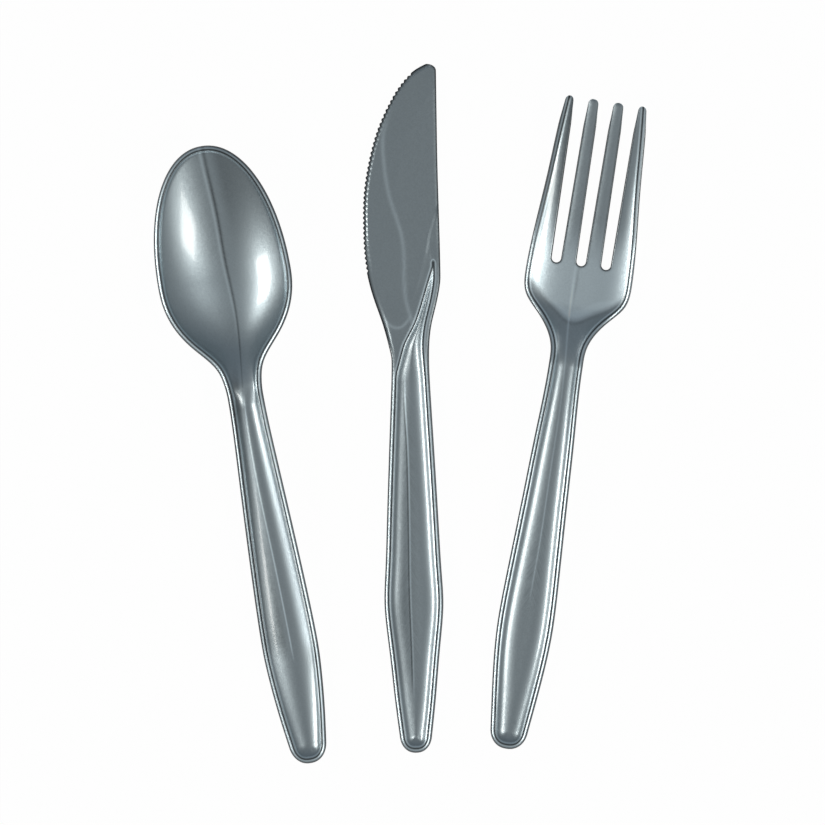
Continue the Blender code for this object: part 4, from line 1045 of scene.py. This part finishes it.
stageLook = {
    "cameraOver": (3.44, 0.29),  # mm, the point straight under the camera
    "cameraHeight": 2000.0,
    "frameWidth": 228.6,  # mm of the table that the picture spans
    "table": "#F6F6F6",  # uncoated white paper
    "tableRoughness": 0.9,
    "tableShine": 0.1,
    "whiteShare": 0.98,  # how much of the table's look is plain white, the rest is lit and shadowed
    "tableSize": 6000.0,
    "tableDrop": 0.2,  # mm under the pieces
    "sensorWidth": 36.0,
    "sightRange": (0.1, 20.0),  # metres, nearest and farthest that the camera sees
}


# A sheet of paper that is almost plain white to the camera and in reflections, and keeps a little shadow
def makeTable():
    look = stageLook
    half = look["tableSize"] / 2 * mm
    mesh = bpy.data.meshes.new("table")
    corners = [(-half, -half, 0), (half, -half, 0), (half, half, 0), (-half, half, 0)]
    mesh.from_pydata(corners, [], [(0, 1, 2, 3)])
    table = addObject("table", mesh)
    table.location.z = -look["tableDrop"] * mm
    paper = bpy.data.materials.new("white_paper")
    paper.use_nodes = True
    tree = paper.node_tree
    shader = tree.nodes["Principled BSDF"]
    shader.inputs["Base Color"].default_value = linear(look["table"])
    shader.inputs["Roughness"].default_value = look["tableRoughness"]
    shader.inputs["Specular IOR Level"].default_value = look["tableShine"]
    glow = addNode(tree, "Emission", Color=(1, 1, 1, 1), Strength=1.0)
    path = addNode(tree, "LightPath")
    seen = 0.0
    for ray in ("Is Camera Ray", "Is Glossy Ray", "Is Transmission Ray"):
        seen = addNode(tree, "Math", {"operation": "ADD", "use_clamp": True}, in0=seen,
                       in1=path.outputs[ray]).outputs[0]
    seen = addNode(tree, "Math", {"operation": "MULTIPLY"}, in0=seen, in1=look["whiteShare"]).outputs[0]
    mix = addNode(tree, "MixShader", in0=seen, in1=shader.outputs[0], in2=glow.outputs[0])
    tree.links.new(mix.outputs[0], tree.nodes["Material Output"].inputs["Surface"])
    mesh.materials.append(paper)


lightLook = {
    "world": 0.30,
    "front": "#E6ECF1",  # the room on the side of the handles
    "back": "#C4D0DD",  # darker and bluer on the far side
    "backFrom": (0.2, 0.95),  # how far towards the far side that begins and is full
    "horizon": 1.6,  # how much lighter the wall all round is, low down
    "horizonHeight": 0.09,
    # azimuth and angle from overhead in degrees, size in mm (up and down, across), distance in mm, radiance
    "left": (188, 55, (420, 390), 1500, 12.0),
    "right": (-26, 41, (400, 500), 1500, 8.5),
    "tint": "#FFFCF7",
}


# A softbox that faces the set, placed by compass direction and by its angle from straight overhead
def addSoftbox(name, azimuth, fromOverhead, size, distance, radiance, tint):
    lamp = bpy.data.lights.new(name, "AREA")
    lamp.shape = "RECTANGLE"
    lamp.size, lamp.size_y = size[0] * mm, size[1] * mm
    lamp.energy = radiance * math.pi * lamp.size * lamp.size_y
    lamp.color = linear(tint)[:3]
    box = addObject(name, lamp)
    a, t = math.radians(azimuth), math.radians(fromOverhead)
    towards = (math.sin(t) * math.cos(a), math.sin(t) * math.sin(a), math.cos(t))
    box.location = [distance * mm * v for v in towards]
    box.rotation_euler = (0, t, a)
    box.visible_camera = False


# Two softboxes, and a room that is bluer and darker on the far side, and lighter low down all round
def makeLight():
    look = lightLook
    for side in ("left", "right"):
        addSoftbox(f"softbox_{side}", *look[side], look["tint"])
    world = bpy.data.worlds.new("studio")
    bpy.context.scene.world = world
    world.use_nodes = True
    tree = world.node_tree
    direction = addNode(tree, "TexCoord").outputs["Generated"]
    _, towardsBack, upwards = addNode(tree, "SeparateXYZ", Vector=direction).outputs
    towardsBack = addNode(tree, "MapRange", {"interpolation_type": "SMOOTHSTEP"},
                          in0=towardsBack, in1=look["backFrom"][0], in2=look["backFrom"][1]).outputs[0]
    strength = addNode(tree, "MapRange", in0=upwards, in1=look["horizonHeight"], in2=0.0,
                       in3=look["world"], in4=look["world"] * look["horizon"]).outputs[0]
    room = addNode(tree, "Mix", {"data_type": "RGBA"}, in0=towardsBack, in6=linear(look["front"]),
                   in7=linear(look["back"]))
    back = tree.nodes["Background"]
    tree.links.new(room.outputs[2], back.inputs["Color"])
    tree.links.new(strength, back.inputs["Strength"])


# A long lens straight above the set
def makeCamera():
    look = stageLook
    camera = bpy.data.cameras.new("camera")
    camera.sensor_width = look["sensorWidth"]
    camera.lens = camera.sensor_width * look["cameraHeight"] / look["frameWidth"]
    camera.clip_start, camera.clip_end = look["sightRange"]
    eye = addObject("camera", camera)
    eye.location = [v * mm for v in (*look["cameraOver"], look["cameraHeight"])]
    bpy.context.scene.camera = eye


plastic = silverFlakePolystyrene("silver_flake_polystyrene")
for piece in (makeSpoon(), makeKnife(), makeFork()):
    piece.data.materials.append(plastic)
print("the three pieces are made")
makeTable()
makeLight()
makeCamera()
bpy.context.scene.view_settings.view_transform = "Standard"
print("the stage, the light and the camera are set")
